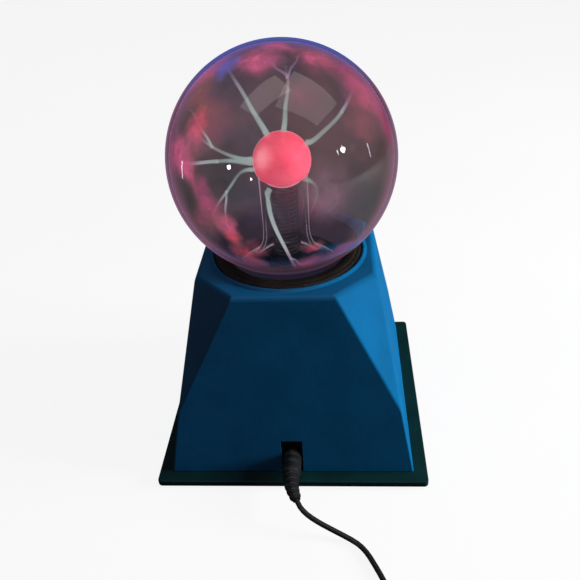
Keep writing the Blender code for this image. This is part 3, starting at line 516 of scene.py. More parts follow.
def glow(tree, colour, alpha, strength):
    """Ends a material in light of that colour over whatever is behind it."""
    tree.nodes.remove(tree.nodes["Principled BSDF"])
    light = add_node(tree, "Emission", {"Color": colour, "Strength": strength})
    clear = add_node(tree, "BsdfTransparent")
    end_in_mix(tree, alpha, clear.outputs["BSDF"], light.outputs["Emission"])


def toward(azimuth, elevation):
    """A unit vector. Azimuth 0 is -Y, 90 is +X, and elevation 0 is level; both in degrees."""
    turn, rise = radians(azimuth), radians(elevation)
    return Vector((sin(turn) * cos(rise), -cos(turn) * cos(rise), sin(rise)))


PINK = (0.90, 0.13, 0.30)
MAGENTA = (0.62, 0.07, 0.22)
RED = (0.80, 0.07, 0.14)
RUST = (0.42, 0.10, 0.09)
MAUVE = (0.42, 0.22, 0.32)
VIOLET = (0.13, 0.12, 0.55)
# Where the gas glows on the glass: azimuth, elevation, half width (degrees), colour, strength
GLOWS = [
    (-22, 70, 14, PINK, 0.75), (15, 84, 10, PINK, 0.70),
    (56, 68, 15, PINK, 0.70), (72, 52, 15, MAGENTA, 0.60),
    (74, 38, 15, PINK, 0.55), (76, 20, 16, MAGENTA, 0.60),
    (58, 42, 11, MAGENTA, 0.35), (-57, 64, 10, VIOLET, 0.85),
    (-84, 54, 16, PINK, 0.80), (-55, 44, 17, RUST, 0.50),
    (-36, 40, 14, RUST, 0.50), (-44, 32, 11, RED, 0.60),
    (-42, 24, 9, PINK, 0.45), (-55, 16, 14, PINK, 0.75),
    (-44, 12, 9, PINK, 0.60), (-35, 5, 9, MAGENTA, 0.55),
    (-31, -3, 9, MAGENTA, 0.55), (-36, -12, 11, MAGENTA, 0.45),
    (-24, -10, 7, PINK, 0.80), (-22, -17, 7, RED, 0.80),
    (-20, -26, 8, RED, 0.70), (-18, -36, 9, RED, 0.55),
    (-11, -24, 8, RED, 0.45), (20, -38, 12, MAGENTA, 0.70),
    (19, -22, 6, RED, 0.70), (38, -34, 10, MAGENTA, 0.60),
    (-128, 8, 20, MAGENTA, 0.40), (130, 8, 20, PINK, 0.35),
    (168, 18, 18, MAGENTA, 0.25), (158, -50, 14, PINK, 0.35),
    (26, 5, 18, MAUVE, 0.40),
]


def gas_material():
    """The light that the gas gives at the glass: ragged spots, a haze above the neck, and a rim, with
    painted shade at the bottom and down the neck.
    """
    made, tree, _ = new_material("glowing_gas")
    place = object_place(tree)
    wander = 0.016  # how far the ragged edges stray
    ragged = noise(tree, place, 60.0, 4.0, "Color")
    centre = GLOBE_CENTRE + Vector((wander, wander, wander)) / 2
    from_centre = add_vector_math(tree, "SUBTRACT", place, centre)
    moved = add_vector_math(tree, "MULTIPLY_ADD", ragged, (wander,) * 3, from_centre)
    direction = add_vector_math(tree, "NORMALIZE", moved)
    streaks = spread(tree, noise(tree, moved, 190.0, 5.0, roughness=0.65), 0.35, 0.70, 0.65, 1.15)
    height = height_of(tree, direction)
    rim_fade = fade(tree, height, -0.82, -0.40, 0.10, 1.0)
    rim = fade(tree, add_facing(tree), 0.56, 0.96, 0.0, 0.62)
    rim = add_math(tree, "MULTIPLY", rim, rim_fade)
    upper = fade(tree, height, 0.45, 0.85, 0.0, 1.0)
    rim_colour = add_mix(tree, upper, (0.30, 0.085, 0.19, 1.0), (0.30, 0.10, 0.40, 1.0))
    above_neck = fade(tree, height, -0.50, 0.10, 0.0, 1.0)
    haze = spread(tree, noise(tree, place, 34.0, 5.0, roughness=0.6), 0.36, 0.66, 0.08, 0.46)
    haze = add_math(tree, "MULTIPLY", haze, above_neck)
    tint = noise(tree, moved, 26.0, 3.0)
    haze_colour = ramp(tree, tint, (0.125, 0.085, 0.130), (0.210, 0.105, 0.110), 0.38, 0.62)
    colour = add_mix(tree, rim, haze_colour, rim_colour)
    alpha = add_math(tree, "ADD", haze, rim)
    for azimuth, elevation, half_width, tint, strength in GLOWS:
        dot = add_vector_math(tree, "DOT_PRODUCT", direction, toward(azimuth, elevation), output="Value")
        amount = spread(tree, dot, cos(radians(half_width)), 1.0, 0.0, 1.0)
        amount = add_math(tree, "POWER", amount, GLOW_FALL)
        amount = spread(tree, amount, 0.0, 1.0, 0.0, strength)
        amount = add_math(tree, "MULTIPLY", amount, streaks)
        colour = add_mix(tree, amount, colour, (*tint, 1.0))
        alpha = add_math(tree, "ADD", alpha, amount)
    # Painted shade: towards the bottom and down the neck the sheet turns near black and nearly opaque.
    low = fade(tree, height, -0.82, -0.62, 0.90, 0.0)
    colour = add_mix(tree, low, colour, (0.006, 0.007, 0.020, 1.0))
    alpha = add_math(tree, "ADD", alpha, low)
    glow(tree, colour, spread(tree, alpha, 0.0, 1.0, 0.0, 1.0), 1.0)
    return made


def streamer_material():
    """A streamer's light, soft at its sides, that turns pink and thin near the glass."""
    made, tree, _ = new_material("streamer_light")
    place = object_place(tree)
    soft = fade(tree, add_facing(tree), 0.0, 0.76, 0.86, 0.0)
    flicker = spread(tree, noise(tree, place, 160.0, 2.0), 0.3, 0.7, 0.85, 1.1)
    outward = add_vector_math(tree, "DISTANCE", place, GLOBE_CENTRE, output="Value")
    far = fade(tree, outward, 0.034, 0.0475, 0.0, 1.0)
    fading = spread(tree, far, 0.0, 1.0, 1.0, 0.15)
    alpha = add_math(tree, "MULTIPLY", add_math(tree, "MULTIPLY", soft, flicker), fading)
    colour = ramp(tree, noise(tree, place, 90.0, 2.0), (0.30, 0.40, 0.37), (0.42, 0.50, 0.48))
    glow(tree, add_mix(tree, far, colour, (0.50, 0.30, 0.50, 1.0)), alpha, 1.1)
    return made


def electrode_material():
    """The coated ball: coral light, uneven, with a painted highlight and a painted paler rim."""
    made, tree, shader = new_material("electrode_coating")
    place = object_place(tree)
    colour = ramp(tree, noise(tree, place, 95.0, 4.0), (0.72, 0.060, 0.115), (0.86, 0.105, 0.170))
    # A painted highlight: a pale spot up on the left of the ball.
    painted_highlight_at = BULB_CENTRE + toward(-46, 23) * BULB_RADIUS
    aside = add_vector_math(tree, "DISTANCE", place, painted_highlight_at, output="Value")
    spot = fade(tree, aside, 0.0, 0.0080, 0.95, 0.0)
    colour = add_mix(tree, spot, colour, (1.0, 0.34, 0.38, 1.0))
    # A painted rim light: paler towards the ball's silhouette.
    edge = fade(tree, add_facing(tree), 0.55, 0.92, 0.0, 0.85)
    colour = add_mix(tree, edge, colour, (1.0, 0.36, 0.44, 1.0))
    feed(tree, shader, {
        "Emission Color": colour,
        "Base Color": colour,
        "Emission Strength": 1.0,
        "Roughness": 0.5,
        "Normal": add_bump(tree, noise(tree, place, 1400.0, 2.0), 0.00002),
    })
    return made


# Each surface: name, colour, roughness, grain scale and depth, mottle, metallic, specks, specular
SURFACES = [
    ("housing_blue", (0.001, 0.105, 0.262), 0.50, 1300.0, 0.00006, 0.10, 0.0, 0.0, 0.25),
    ("plate_green", (0.0015, 0.022, 0.023), 0.50, 1100.0, 0.00005, 0.18, 0.0, 0.0, 0.2),
    ("foot_rubber", (0.020, 0.020, 0.020), 0.75, 1500.0, 0.00006),
    ("gasket_rubber", (0.014, 0.011, 0.008), 0.42, 1200.0, 0.00008, 0.35, 0.0, 0.35, 0.3),
    ("spring_steel", (0.15, 0.15, 0.18), 0.38, 2500.0, 0.00001, 0.2, 1.0),
    ("zinc_steel", (0.55, 0.55, 0.53), 0.34, 2200.0, 0.00002, 0.2, 1.0),
    ("inner_black", (0.014, 0.014, 0.015), 0.48, 1400.0, 0.00003),
    ("board_green", (0.012, 0.110, 0.040), 0.36, 700.0, 0.00002, 0.25),
    ("ferrite", (0.045, 0.045, 0.050), 0.66, 1800.0, 0.00008, 0.25),
    ("winding_tape", (0.62, 0.42, 0.05), 0.36, 600.0, 0.00003, 0.12),
    ("red_insulation", (0.50, 0.02, 0.02), 0.42, 1200.0, 0.00002),
    ("aluminium", (0.70, 0.71, 0.72), 0.36, 1900.0, 0.00002, 0.1, 1.0),
    ("capacitor_sleeve", (0.010, 0.020, 0.070), 0.34, 900.0, 0.00002),
    ("resistor_body", (0.60, 0.46, 0.28), 0.44, 1500.0, 0.00002),
    ("lead_plastic", (0.010, 0.010, 0.011), 0.42, 1700.0, 0.00003, 0.25),
    ("nickel", (0.72, 0.70, 0.67), 0.22, 2500.0, 0.00001, 0.08, 1.0),
    ("tongue_plastic", (0.82, 0.82, 0.80), 0.45, 1200.0, 0.00002, 0.05),
    ("tie_plastic", (0.020, 0.020, 0.021), 0.48, 1500.0, 0.00003),
]
# Each glass: name, tint, painted light of its upper and its lower edges, where that painted edge light
# starts, how dim it is low down
GLASSES = [
    ("globe_glass", (0.985, 0.985, 0.99), (0.06, 0.07, 0.42), (0.24, 0.10, 0.19), 0.62, 0.12),
    ("stem_glass", (0.92, 0.93, 0.95), (0.46, 0.34, 0.40), (0.46, 0.34, 0.40), 0.72, 0.7),
]
FINISHES = {row[0]: surface(*row) for row in SURFACES}
FINISHES.update({row[0]: glass(*row) for row in GLASSES})
FINISHES["electrode_coating"] = electrode_material()


def finish_cad_nodes():
    """Gives each CAD node the finish of its slot in the record."""
    for subpart in frame["record"]["subparts"]:
        finishes = NODES[subpart["node"]].data.materials
        finishes.clear()
        finishes.append(FINISHES[subpart["material_slot"]])


# ---- The camera and the power lead -------
def make_camera():
    data = bpy.data.cameras.new("camera")
    data.lens = CAMERA_LENS
    data.sensor_width = 36.0
    data.clip_start = 0.01
    data.clip_end = 20.0
    camera = link("camera", data)
    turn = Matrix.Rotation(radians(CAMERA_TURN), 4, "Z")
    tilt = Matrix.Rotation(radians(CAMERA_TILT), 4, "X")
    roll = Matrix.Rotation(radians(CAMERA_ROLL), 4, "Z")
    camera.matrix_world = Matrix.Translation(CAMERA_AT) @ turn @ tilt @ roll
    bpy.context.scene.camera = camera


def coil_points():
    """The coil's turns, wound clockwise in layers, each run the other way from the one below it."""
    columns = [COIL_MEAN_RADIUS + (1 - n) * TURN_PITCH for n in range(COIL_COLUMNS)]
    places = []
    for layer in range(COIL_LAYERS):
        row = columns if layer % 2 == 0 else columns[::-1]
        places += [(radius, CORD_RADIUS + layer * TURN_PITCH) for radius in row]
    points = []
    for k in range(round(COIL_TURNS * POINTS_PER_TURN) + 1):
        turn = k / POINTS_PER_TURN
        whole = min(int(turn), len(places) - 2)
        t = min(1.0, max(0.0, (turn - whole - (1 - STEP_SHARE)) / STEP_SHARE))
        ease = t * t * (3 - 2 * t)
        (r0, z0), (r1, z1) = places[whole], places[whole + 1]
        radius, height = r0 + (r1 - r0) * ease, z0 + (z1 - z0) * ease
        angle = -2 * pi * turn
        x = COIL_CENTRE[0] + radius * cos(angle)
        y = COIL_CENTRE[1] + radius * sin(angle)
        points.append(Vector((x, y, height)))
    return points


def tail_point(s):
    """The middle of the strain relief at the distance s from where it starts to bend."""
    turn = TAIL_TURN * s / TAIL_LENGTH
    bend = TAIL_LENGTH / TAIL_TURN
    x = SOCKET_X + bend * (1 - cos(turn))
    y = TAIL_START_Y - bend * sin(turn)
    return Vector((x, y, SOCKET_Z - TAIL_SAG * (s / TAIL_LENGTH) ** 2))


def make_cord():
    route = smooth_through(CORD_TO_COIL, 0.0026) + coil_points() + smooth_through(CORD_TO_USB, 0.0020)
    cord = wire("power_cord_lead", route, CORD_RADIUS)
    piece(cord, "power_lead", "lead_plastic", "power_cord", "power_cord_end", "cord_coil")
    return cord, sum((b - a).length for a, b in zip(route, route[1:]))


def make_dc_plug():
    """The moulded plug: a straight grip with two finger grooves, then a relief that bends to the cord."""
    centres, radii = [], []
    for turn in quarter_turns(6):
        centres.append(Vector((SOCKET_X, PLUG_FRONT_Y - PLUG_ROUNDING * (1 - cos(turn)), SOCKET_Z)))
        radii.append(PLUG_RADIUS - PLUG_ROUNDING * (1 - sin(turn)))
    grip_start, grip_end = PLUG_FRONT_Y - PLUG_ROUNDING, TAIL_START_Y + 0.001
    for share, deep in GRIP_PROFILE:
        centres.append(Vector((SOCKET_X, grip_start + (grip_end - grip_start) * share, SOCKET_Z)))
        radii.append(PLUG_RADIUS - deep * GROOVE_DEPTH)
    thick_end, thin_end = TAIL_RADII
    for n in range(TAIL_RIBS):
        for part, extra in RIB_PROFILE:
            share = (n + part) / TAIL_RIBS
            centres.append(tail_point(share * TAIL_LENGTH))
            radii.append(thick_end + (thin_end - thick_end) * share + extra * RIB_HEIGHT)
    centres.append(tail_point(TAIL_LENGTH))
    radii.append(thin_end)
    body = sweep("dc_plug_grip", centres, radii, segments=40)
    return piece(body, "power_lead", "lead_plastic", "dc_plug_body")


def make_usb_plug():
    """The far end: a moulded grip with finger grooves and a relief, over the CAD shell and tongue."""
    length, width, height = USB_BODY
    half = Vector((length / 2, width / 2, height / 2))
    body = box("usb_plug_grip", USB_CENTRE - half, USB_CENTRE + half)
    bevel(body, 0.0020, 5)
    start = USB_CENTRE.x + length / 2
    distances, radii = zip(*USB_RELIEF)
    centres = [(start + s, USB_CENTRE.y, USB_CENTRE.z) for s in distances]
    combine(body, sweep("usb_relief", centres, radii, segments=32), "UNION")
    wide, reach, deep = USB_GROOVE
    for n in range(USB_GROOVES):
        x = USB_CENTRE.x - 0.003 + n * USB_GROOVE_PITCH
        low = (x, USB_CENTRE.y - reach, height - deep)
        combine(body, box("grip_groove", low, (x + wide, USB_CENTRE.y + reach, height + CUT_PAST)))
    keep_sharp(body, 40)
    return piece(body, "power_lead", "lead_plastic", "usb_plug_body")


def make_tie():
    """The tie round the coil: a toothed strap and its head."""
    low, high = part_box("cable_tie")
    half = TIE_WIDTH / 2
    y = COIL_CENTRE[1]
    top = high.z - TIE_HEAD_DROP + TIE_BAND
    tie = box("cable_tie_strap", (low.x, y - half, 0.0), (high.x, y + half, top))
    bevel(tie, 0.0011, 4)
    past = 0.01
    inner_low = (low.x + TIE_BAND, y - past, TIE_BAND)
    opening = box("opening", inner_low, (high.x - TIE_BAND, y + past, top - TIE_BAND))
    bevel(opening, 0.0006)
    combine(tie, opening)
    wide, tall = TOOTH_SIZE
    for n in range(TIE_TEETH):
        z = 0.0016 + n * TOOTH_PITCH
        start, end = (high.x - 0.0002, y - wide / 2, z), (high.x + 0.001, y + wide / 2, z + tall)
        combine(tie, box("tooth", start, end))
    middle = (low.x + high.x) / 2
    along, across = HEAD_REACH
    head_low = (middle - along, y - half - across, top - 0.0004)
    head = box("head", head_low, (middle + along, y + half + across, high.z))
    bevel(head, 0.0005)
    combine(tie, head, "UNION")
    keep_sharp(tie, 40)
    return piece(tie, "power_lead", "tie_plastic", "cable_tie")


def make_lead():
    cord, length = make_cord()
    pieces = [make_dc_plug(), make_usb_plug(), make_tie()]
    pieces += [NODES[name] for name in ("dc_plug_barrel", "usb_plug_shell", "usb_plug_tongue")]


# ---- The base ----------------------------
WALL_SLOPE = (HOUSING_HALF_BOTTOM - HOUSING_HALF_TOP) / (HOUSING_TOP - PLATE_TOP)
WALL_LEAN = atan(WALL_SLOPE)
FACET_TOP = (HOUSING_HALF_TOP + OCTAGON_HALF_EDGE) / sqrt(2)


def half_width(z):
    return HOUSING_HALF_TOP + WALL_SLOPE * (HOUSING_TOP - z)


FACET_SLOPE = (half_width(FACET_APEX_Z) * sqrt(2) - FACET_TOP) / (HOUSING_TOP - FACET_APEX_Z)


def tapered_body(name, inset, low, high):
    """The housing's shape, a square below that turns into an octagon above, moved in by inset."""

    def wall(z):
        return half_width(z) - inset / cos(WALL_LEAN)

    def facet(z):
        return FACET_TOP + FACET_SLOPE * (HOUSING_TOP - z) - inset / cos(atan(FACET_SLOPE))

    reach = wall(HOUSING_TOP) * sqrt(2) - facet(HOUSING_TOP)
    apex_z = HOUSING_TOP - reach / (FACET_SLOPE - WALL_SLOPE * sqrt(2))
    bottom, apex, side = wall(low), wall(apex_z), wall(high)
    edge = facet(high) * sqrt(2) - side
    bm = bmesh.new()
    corner = [bm.verts.new((x, y, low)) for x, y in corners_of(bottom)]
    tip = [bm.verts.new((x, y, apex_z)) for x, y in corners_of(apex)]
    top = []
    for n, (sx, sy) in enumerate(corners_of(1)):
        pair = [(sx * side, sy * edge), (sx * edge, sy * side)]
        top.append([bm.verts.new((x, y, high)) for x, y in (pair if n % 2 == 0 else pair[::-1])])
    for n in range(4):
        m = (n + 1) % 4
        bm.faces.new((corner[n], corner[m], tip[m], top[m][0], top[n][1], tip[n]))
        bm.faces.new((tip[n], top[n][1], top[n][0]))
    bm.faces.new([v for pair in top for v in pair])
    bm.faces.new(corner[::-1])
    return add(name, bm)


def on_switch_wall(x, up, out):
    """A point of the +Y wall near the switch: up along the wall and out from its outer face."""
    lean_sin, lean_cos = sin(WALL_LEAN), cos(WALL_LEAN)
    y = half_width(SWITCH_Z) - up * lean_sin + out * lean_cos
    return Vector((x, y, SWITCH_Z + up * lean_cos + out * lean_sin))


def wall_box(name, x, up, out):
    """A box square to the +Y wall, its x, up and out each a (low, high) pair."""
    made = box(name, (x[0], up[0], out[0]), (x[1], up[1], out[1]))
    for v in made.data.vertices:
        v.co = on_switch_wall(*v.co)
    made.data.flip_normals()  # the move above mirrors it
    return made


def round_housing(housing):
    """Rounds the top edges fully, the slanted ones less, and leaves the bottom ones as they are."""
    weights = housing.data.attributes.new("bevel_weight_edge", "FLOAT", "EDGE")
    for edge, weight in zip(housing.data.edges, weights.data):
        ends = [housing.data.vertices[v].co.z for v in edge.vertices]
        at_top = min(ends) > HOUSING_TOP - GAP
        at_bottom = max(ends) < HOUSING_BOTTOM + GAP
        weight.value = 1.0 if at_top else 0.0 if at_bottom else SLANTED_EDGE_SHARE
    edges = housing.modifiers.new("rounded_edges", "BEVEL")
    edges.width = HOUSING_ROUNDING
    edges.segments = 6
    edges.limit_method = "WEIGHT"
    settle(housing)


def bead_profile(rim_top):
    """The raised rim round the mouth, whose top rolls off outward."""
    inner, foot = RECESS_RADIUS - OVERLAP, HOUSING_TOP - OVERLAP
    start, width = 0.25, 0.85  # where the roll starts, and how far it goes, in bead widths
    steps = 12
    bead = [(inner, foot), (inner, rim_top)]
    for k in range(steps + 1):
        share = k / steps
        fall = (BEAD_HEIGHT + 0.0001) * (0.5 - 0.5 * cos(pi * share))
        bead.append((RECESS_RADIUS + BEAD_WIDTH * (start + width * share), rim_top - fall))
    bead.append((RECESS_RADIUS + BEAD_WIDTH * (start + width), foot))
    return bead[::-1]


def mouth_profile(rim_top):
    """What is cut for the gasket and the neck: a round-edged recess, and a hole through its floor."""
    hole, above = NECK_RADIUS + MOUTH_CLEARANCE, rim_top + CUT_PAST
    mouth = [(0.0, above), (RECESS_RADIUS + MOUTH_ROUNDING, above)]
    for turn in quarter_turns(6):
        radius = RECESS_RADIUS + MOUTH_ROUNDING * (1 - sin(turn))
        mouth.append((radius, rim_top - MOUTH_ROUNDING * (1 - cos(turn))))
    mouth += [(RECESS_RADIUS, RECESS_FLOOR), (hole, RECESS_FLOOR)]
    return mouth + [(hole, LEDGE_BOTTOM - CUT_PAST), (0.0, LEDGE_BOTTOM - CUT_PAST)]


def cut_holes(housing):
    """The screws' holes, the notch for the power plug, and the switch's slot."""
    post_hole = (POST_HOLE_RADIUS, HOUSING_BOTTOM - CUT_PAST / 2, POST_HOLE_TOP)
    combine(housing, cylinders("post_holes", corners_of(POST_AT), *post_hole))
    places = corners_of(RETAINER_SCREW_AT / sqrt(2))
    combine(housing, cylinders("ledge_holes", places, LEDGE_HOLE_RADIUS, *LEDGE_HOLE_ENDS))
    half = NOTCH_WIDTH / 2
    front, back = NOTCH_ENDS_Y
    low = (SOCKET_X - half, front, HOUSING_BOTTOM - CUT_PAST)
    combine(housing, box("notch", low, (SOCKET_X + half, back, NOTCH_TOP)))
    long, tall = SWITCH_SLOT
    combine(housing, wall_box("switch_slot", (-long, long), (-tall, tall), (-0.005, CUT_PAST)))
    for x in (-SWITCH_SCREW_X, SWITCH_SCREW_X):
        hole = cylinders("switch_hole", [(0, 0)], SWITCH_HOLE_RADIUS, -0.0045, CUT_PAST)
        hole.rotation_euler = (-pi / 2 + WALL_LEAN, 0, 0)
        hole.location = on_switch_wall(x, 0, 0)
        bpy.context.view_layer.update()
        combine(housing, hole)


def make_housing():
    housing = tapered_body("housing_shell", 0.0, HOUSING_BOTTOM, HOUSING_TOP)
    round_housing(housing)
    combine(housing, tapered_body("cavity", WALL, HOUSING_BOTTOM - CUT_PAST, HOUSING_TOP - WALL))
    ledge = rectangle(0.0, LEDGE_RADIUS, LEDGE_BOTTOM, HOUSING_TOP - WALL + OVERLAP)
    combine(housing, lathe("ledge", ledge), "UNION")
    posts = cylinders("posts", corners_of(POST_AT), POST_RADIUS, HOUSING_BOTTOM, POST_TOP)
    combine(housing, posts, "UNION")
    rim_top = HOUSING_TOP + BEAD_HEIGHT
    combine(housing, lathe("bead", bead_profile(rim_top), segments=144), "UNION")
    combine(housing, lathe("mouth", mouth_profile(rim_top), segments=144))
    cut_holes(housing)
    housing.data.shade_smooth()
    keep_sharp(housing, 28)
    flatten = housing.modifiers.new("flat_faces", "WEIGHTED_NORMAL")
    flatten.keep_sharp = True
    piece(housing, "base", "housing_blue", "housing")


def make_screw(name, node, at, pointing, head_radius, head_height, shank_radius, length):
    """A pan-head screw with a cross recess, its head resting at the point at."""
    profile = [(0.0, head_height)]
    for turn in quarter_turns(8):
        across = head_radius * (0.62 + 0.38 * sin(turn))
        profile.append((across, head_height * (0.25 + 0.75 * cos(turn))))
    profile += [(head_radius, 0.0), (shank_radius, 0.0)]
    profile += [(shank_radius, -length + shank_radius), (0.0, -length)]
    made = lathe(name, profile, segments=40)
    arm, wide = head_radius * 0.62, head_radius * 0.11
    floor, above = head_height * 0.35, head_height + 0.001
    for x, y in ((arm, wide), (wide, arm)):
        combine(made, box("recess", (-x, -y, floor), (x, y, above)))
    keep_sharp(made, 35)
    made.rotation_euler = Vector(pointing).to_track_quat("-Z", "Y").to_euler()
    made.location = at
    return piece(made, "base", "zinc_steel", node)


def make_screws():
    for n, (x, y) in enumerate(corners_of(POST_AT), 1):
        at = (x, y, PLATE_THICKNESS)
        make_screw(f"housing_screw_{n}", f"base_screw_{n}", at, (0, 0, 1), *HOUSING_SCREW)
    outward = on_switch_wall(0, 0, 1) - on_switch_wall(0, 0, 0)
    for n, x in enumerate((-SWITCH_SCREW_X, SWITCH_SCREW_X), 1):
        at = on_switch_wall(x, 0, GAP)
        make_screw(f"wall_screw_{n}", f"switch_screw_{n}", at, -outward, *WALL_SCREW)


def about(middle, half):
    return (middle - half, middle + half)


def make_slider():
    """The mode switch's knob, with finger ridges, on the stem that goes into the switch."""
    rest, inner = SLIDER_TRAVEL / 2, -WALL - GAP
    knob = wall_box("mode_slider_knob", about(rest, 0.0027), about(0, 0.0017), (-0.0018, 0.0021))
    bevel(knob, 0.0003)
    for n in range(5):
        groove_at = rest - 0.0020 + n * 0.0010
        combine(knob, wall_box("ridge_gap", about(groove_at, 0.00022), about(0, 0.003), (0.0017, 0.003)))
    stem = wall_box("stem", about(rest, 0.0012), about(0, 0.0010), (inner - 0.0032, -0.0010))
    combine(knob, stem, "UNION")
    keep_sharp(knob, 35)
    piece(knob, "mode_slider", "inner_black", "mode_slider")


def make_gasket():
    """The rubber ring between the globe's neck and the housing: a round crown with a shallow groove."""
    inner, outer = NECK_RADIUS + GAP, RECESS_RADIUS - GAP
    middle, half = (inner + outer) / 2, (outer - inner) / 2
    groove, groove_at, groove_spread = 0.0003, 0.45, 0.12
    steps = 48
    profile = [(inner, RECESS_FLOOR + GAP)]
    for k in range(steps + 1):
        turn = pi * (1 - k / steps)
        across = cos(turn)
        dip = groove * exp(-(((across - groove_at) / groove_spread) ** 2))
        rise = (GASKET_CROWN - GASKET_SHOULDER) * sin(turn)
        profile.append((middle + half * across, GASKET_SHOULDER + rise - dip))
    profile.append((outer, RECESS_FLOOR + GAP))
    ring = lathe("neck_gasket_ring", profile, segments=144)
    piece(ring, "base", "gasket_rubber", "neck_gasket")


def soften_plate():
    rounded_edges(NODES["base_plate"], 0.00015, 2, 50)


# ---- The globe ---------------------------
def neck_curve(radius, neck, fillet):
    """(radius, height) points down the sphere's lower end and round a smooth fillet into the neck."""
    out, apart = neck + fillet, radius + fillet
    meets = -acos(out / apart)
    middle_z = GLOBE_CENTRE.z - sqrt(apart**2 - out**2)
    steps = 10
    turns = [-meets * (1 - k / steps) for k in range(steps + 1)]
    return meets, [(out - fillet * cos(t), middle_z + fillet * sin(t)) for t in turns]


def make_globe():
    """The glass globe, open at the neck."""
    inner_radius, inner_neck = GLOBE_RADIUS - GLASS, NECK_RADIUS - GLASS
    centre_z = GLOBE_CENTRE.z
    outer_end, outer_fillet = neck_curve(GLOBE_RADIUS, NECK_RADIUS, NECK_FILLET)
    inner_end, inner_fillet = neck_curve(inner_radius, inner_neck, NECK_FILLET + GLASS)
    outer = arc(GLOBE_RADIUS, centre_z, pi / 2, outer_end, 72)
    inner = arc(inner_radius, centre_z, inner_end, pi / 2, 68)
    across, up = NECK_EDGE
    foot = [(NECK_RADIUS, NECK_BOTTOM + up), (NECK_RADIUS - across, NECK_BOTTOM)]
    foot += [(inner_neck + across, NECK_BOTTOM), (inner_neck, NECK_BOTTOM + up)]
    profile = outer + outer_fillet[1:] + foot + inner_fillet[:0:-1] + inner
    globe = lathe("globe_shell", profile, segments=160)
    piece(globe, "base", "globe_glass", "glass_globe")


def make_stem():
    """The re-entrant glass stem with the bulb that holds the electrode, and what stands inside it."""
    outer_join = -asin(sqrt(BULB_RADIUS**2 - STEM_RADIUS**2) / BULB_RADIUS)
    bulb = arc(BULB_RADIUS, BULB_CENTRE.z, pi / 2, outer_join + 0.05, 36)
    hollow, bore = BULB_RADIUS - STEM_GLASS, STEM_RADIUS - STEM_GLASS
    inner_join = -asin(sqrt(hollow**2 - bore**2) / hollow)
    inside = arc(hollow, BULB_CENTRE.z, inner_join, pi / 2, 32)
    spacing = 0.0011
    flare = [(p.x, p.z) for p in smooth_through([(r, 0, z) for r, z in STEM_FLARE], spacing)]
    lining = [(r - STEM_GLASS, 0, z - STEM_GLASS * 0.5) for r, z in STEM_FLARE[1:]]
    flare_inside = [(p.x, p.z) for p in smooth_through(lining, spacing)]
    foot = [(STEM_FLARE[0][0] - STEM_GLASS, STEM_FLARE[0][1])]
    stem = lathe("stem_tube", bulb + flare[::-1] + foot + flare_inside + inside)
    piece(stem, "base", "stem_glass", "glass_stem")
    ball = arc(hollow + COATING, BULB_CENTRE.z, pi / 2, -pi / 2, 48)
    piece(lathe("electrode", ball), "base", "electrode_coating", "electrode_ball")
    piece(make_spring(), "base", "spring_steel", "contact_spring")


def make_spring():
    low = PLUG_TOP + GAP + SPRING_WIRE
    per_turn = 28
    coils = []
    for k in range(SPRING_TURNS * per_turn + 1):
        turn = 2 * pi * k / per_turn
        height = low + SPRING_PITCH * k / per_turn
        coils.append((SPRING_RADIUS * cos(turn), SPRING_RADIUS * sin(turn), height))
    return wire("electrode_spring", coils, SPRING_WIRE, 2)


def make_gas():
    """The sheet of light just inside the glass, which goes on down the inside of the neck, where it turns
    to painted shade.
    """
    inset = GLASS + GAP
    meets, fillet = neck_curve(GAS_RADIUS, NECK_RADIUS - inset, NECK_FILLET + inset)
    foot = [(NECK_RADIUS - inset, GAS_BOTTOM)]
    profile = arc(GAS_RADIUS, GLOBE_CENTRE.z, pi / 2, meets, 64) + fillet[1:] + foot
    light_piece(lathe("gas_glow", profile, segments=144, closed=False), gas_material())


def on_shell(azimuth, elevation):
    """The point there, just under the glowing gas."""
    return GLOBE_CENTRE + toward(azimuth, elevation) * (GAS_RADIUS - 0.0006)


def on_bulb(azimuth, elevation):
    """The point there, just outside the bulb."""
    return BULB_CENTRE + toward(azimuth, elevation) * (BULB_RADIUS + 0.0001)


# Each streamer: where it leaves the bulb and meets the glass (azimuth, elevation), its bow, its radius
STREAMERS = [
    ((-118, 58), (-50, 63), (0.000, 0.000, 0.000), 0.00115),
    ((150, 78), (17, 67), (0.001, 0.000, 0.001), 0.00105),
    ((100, 33), (66, 45), (0.000, 0.000, -0.004), 0.00110),
    ((-85, 7), (-47, 31), (-0.002, 0.000, -0.002), 0.00095),
    ((-82, 0), (-48, 15), (0.000, 0.000, 0.001), 0.00105),
    ((-77, -12), (-31, -6), (0.000, 0.000, 0.003), 0.00085),
    ((-45, -54), (12, -58), (-0.002, 0.000, 0.000), 0.00100),
    ((73, -37), (158, -59), (0.003, 0.000, 0.002), 0.00085),
]
# Branches: the streamer that they leave, the share of its length, and where they end
BRANCHES = [
    (1, 0.78, (-6, 74)),
    (1, 0.78, (44, 73)),
    (3, 0.60, (-60, 38)),
    (4, 0.55, (-56, 12)),
    (5, 0.62, (-25, -10)),
    (6, 0.80, (20, -52)),
    (2, 0.70, (58, 42)),
]


def bowed(start, end, bow, leave, arrive, steps=26):
    """Points from start, along leave, to end, along arrive, that bow aside with a fine wander."""
    reach = (end - start).length
    wander = 0.0004
    a, b = start + leave * reach * 0.16, end - arrive * reach * 0.13
    found = []
    for k in range(steps + 1):
        t = k / steps
        spot = start * (1 - t) ** 3 + a * 3 * t * (1 - t) ** 2 + b * 3 * t * t * (1 - t) + end * t**3
        swing = sin(pi * t)
        ripple = Vector((sin(9 * t + reach * 700), cos(8 * t + reach * 400), sin(7 * t)))
        found.append(spot + Vector(bow) * swing + ripple * wander * swing)
    return found


def tapered(radius, start, end, count):
    """The radius times a share that goes evenly from start to end."""
    return [radius * (start + (end - start) * k / (count - 1)) for k in range(count)]


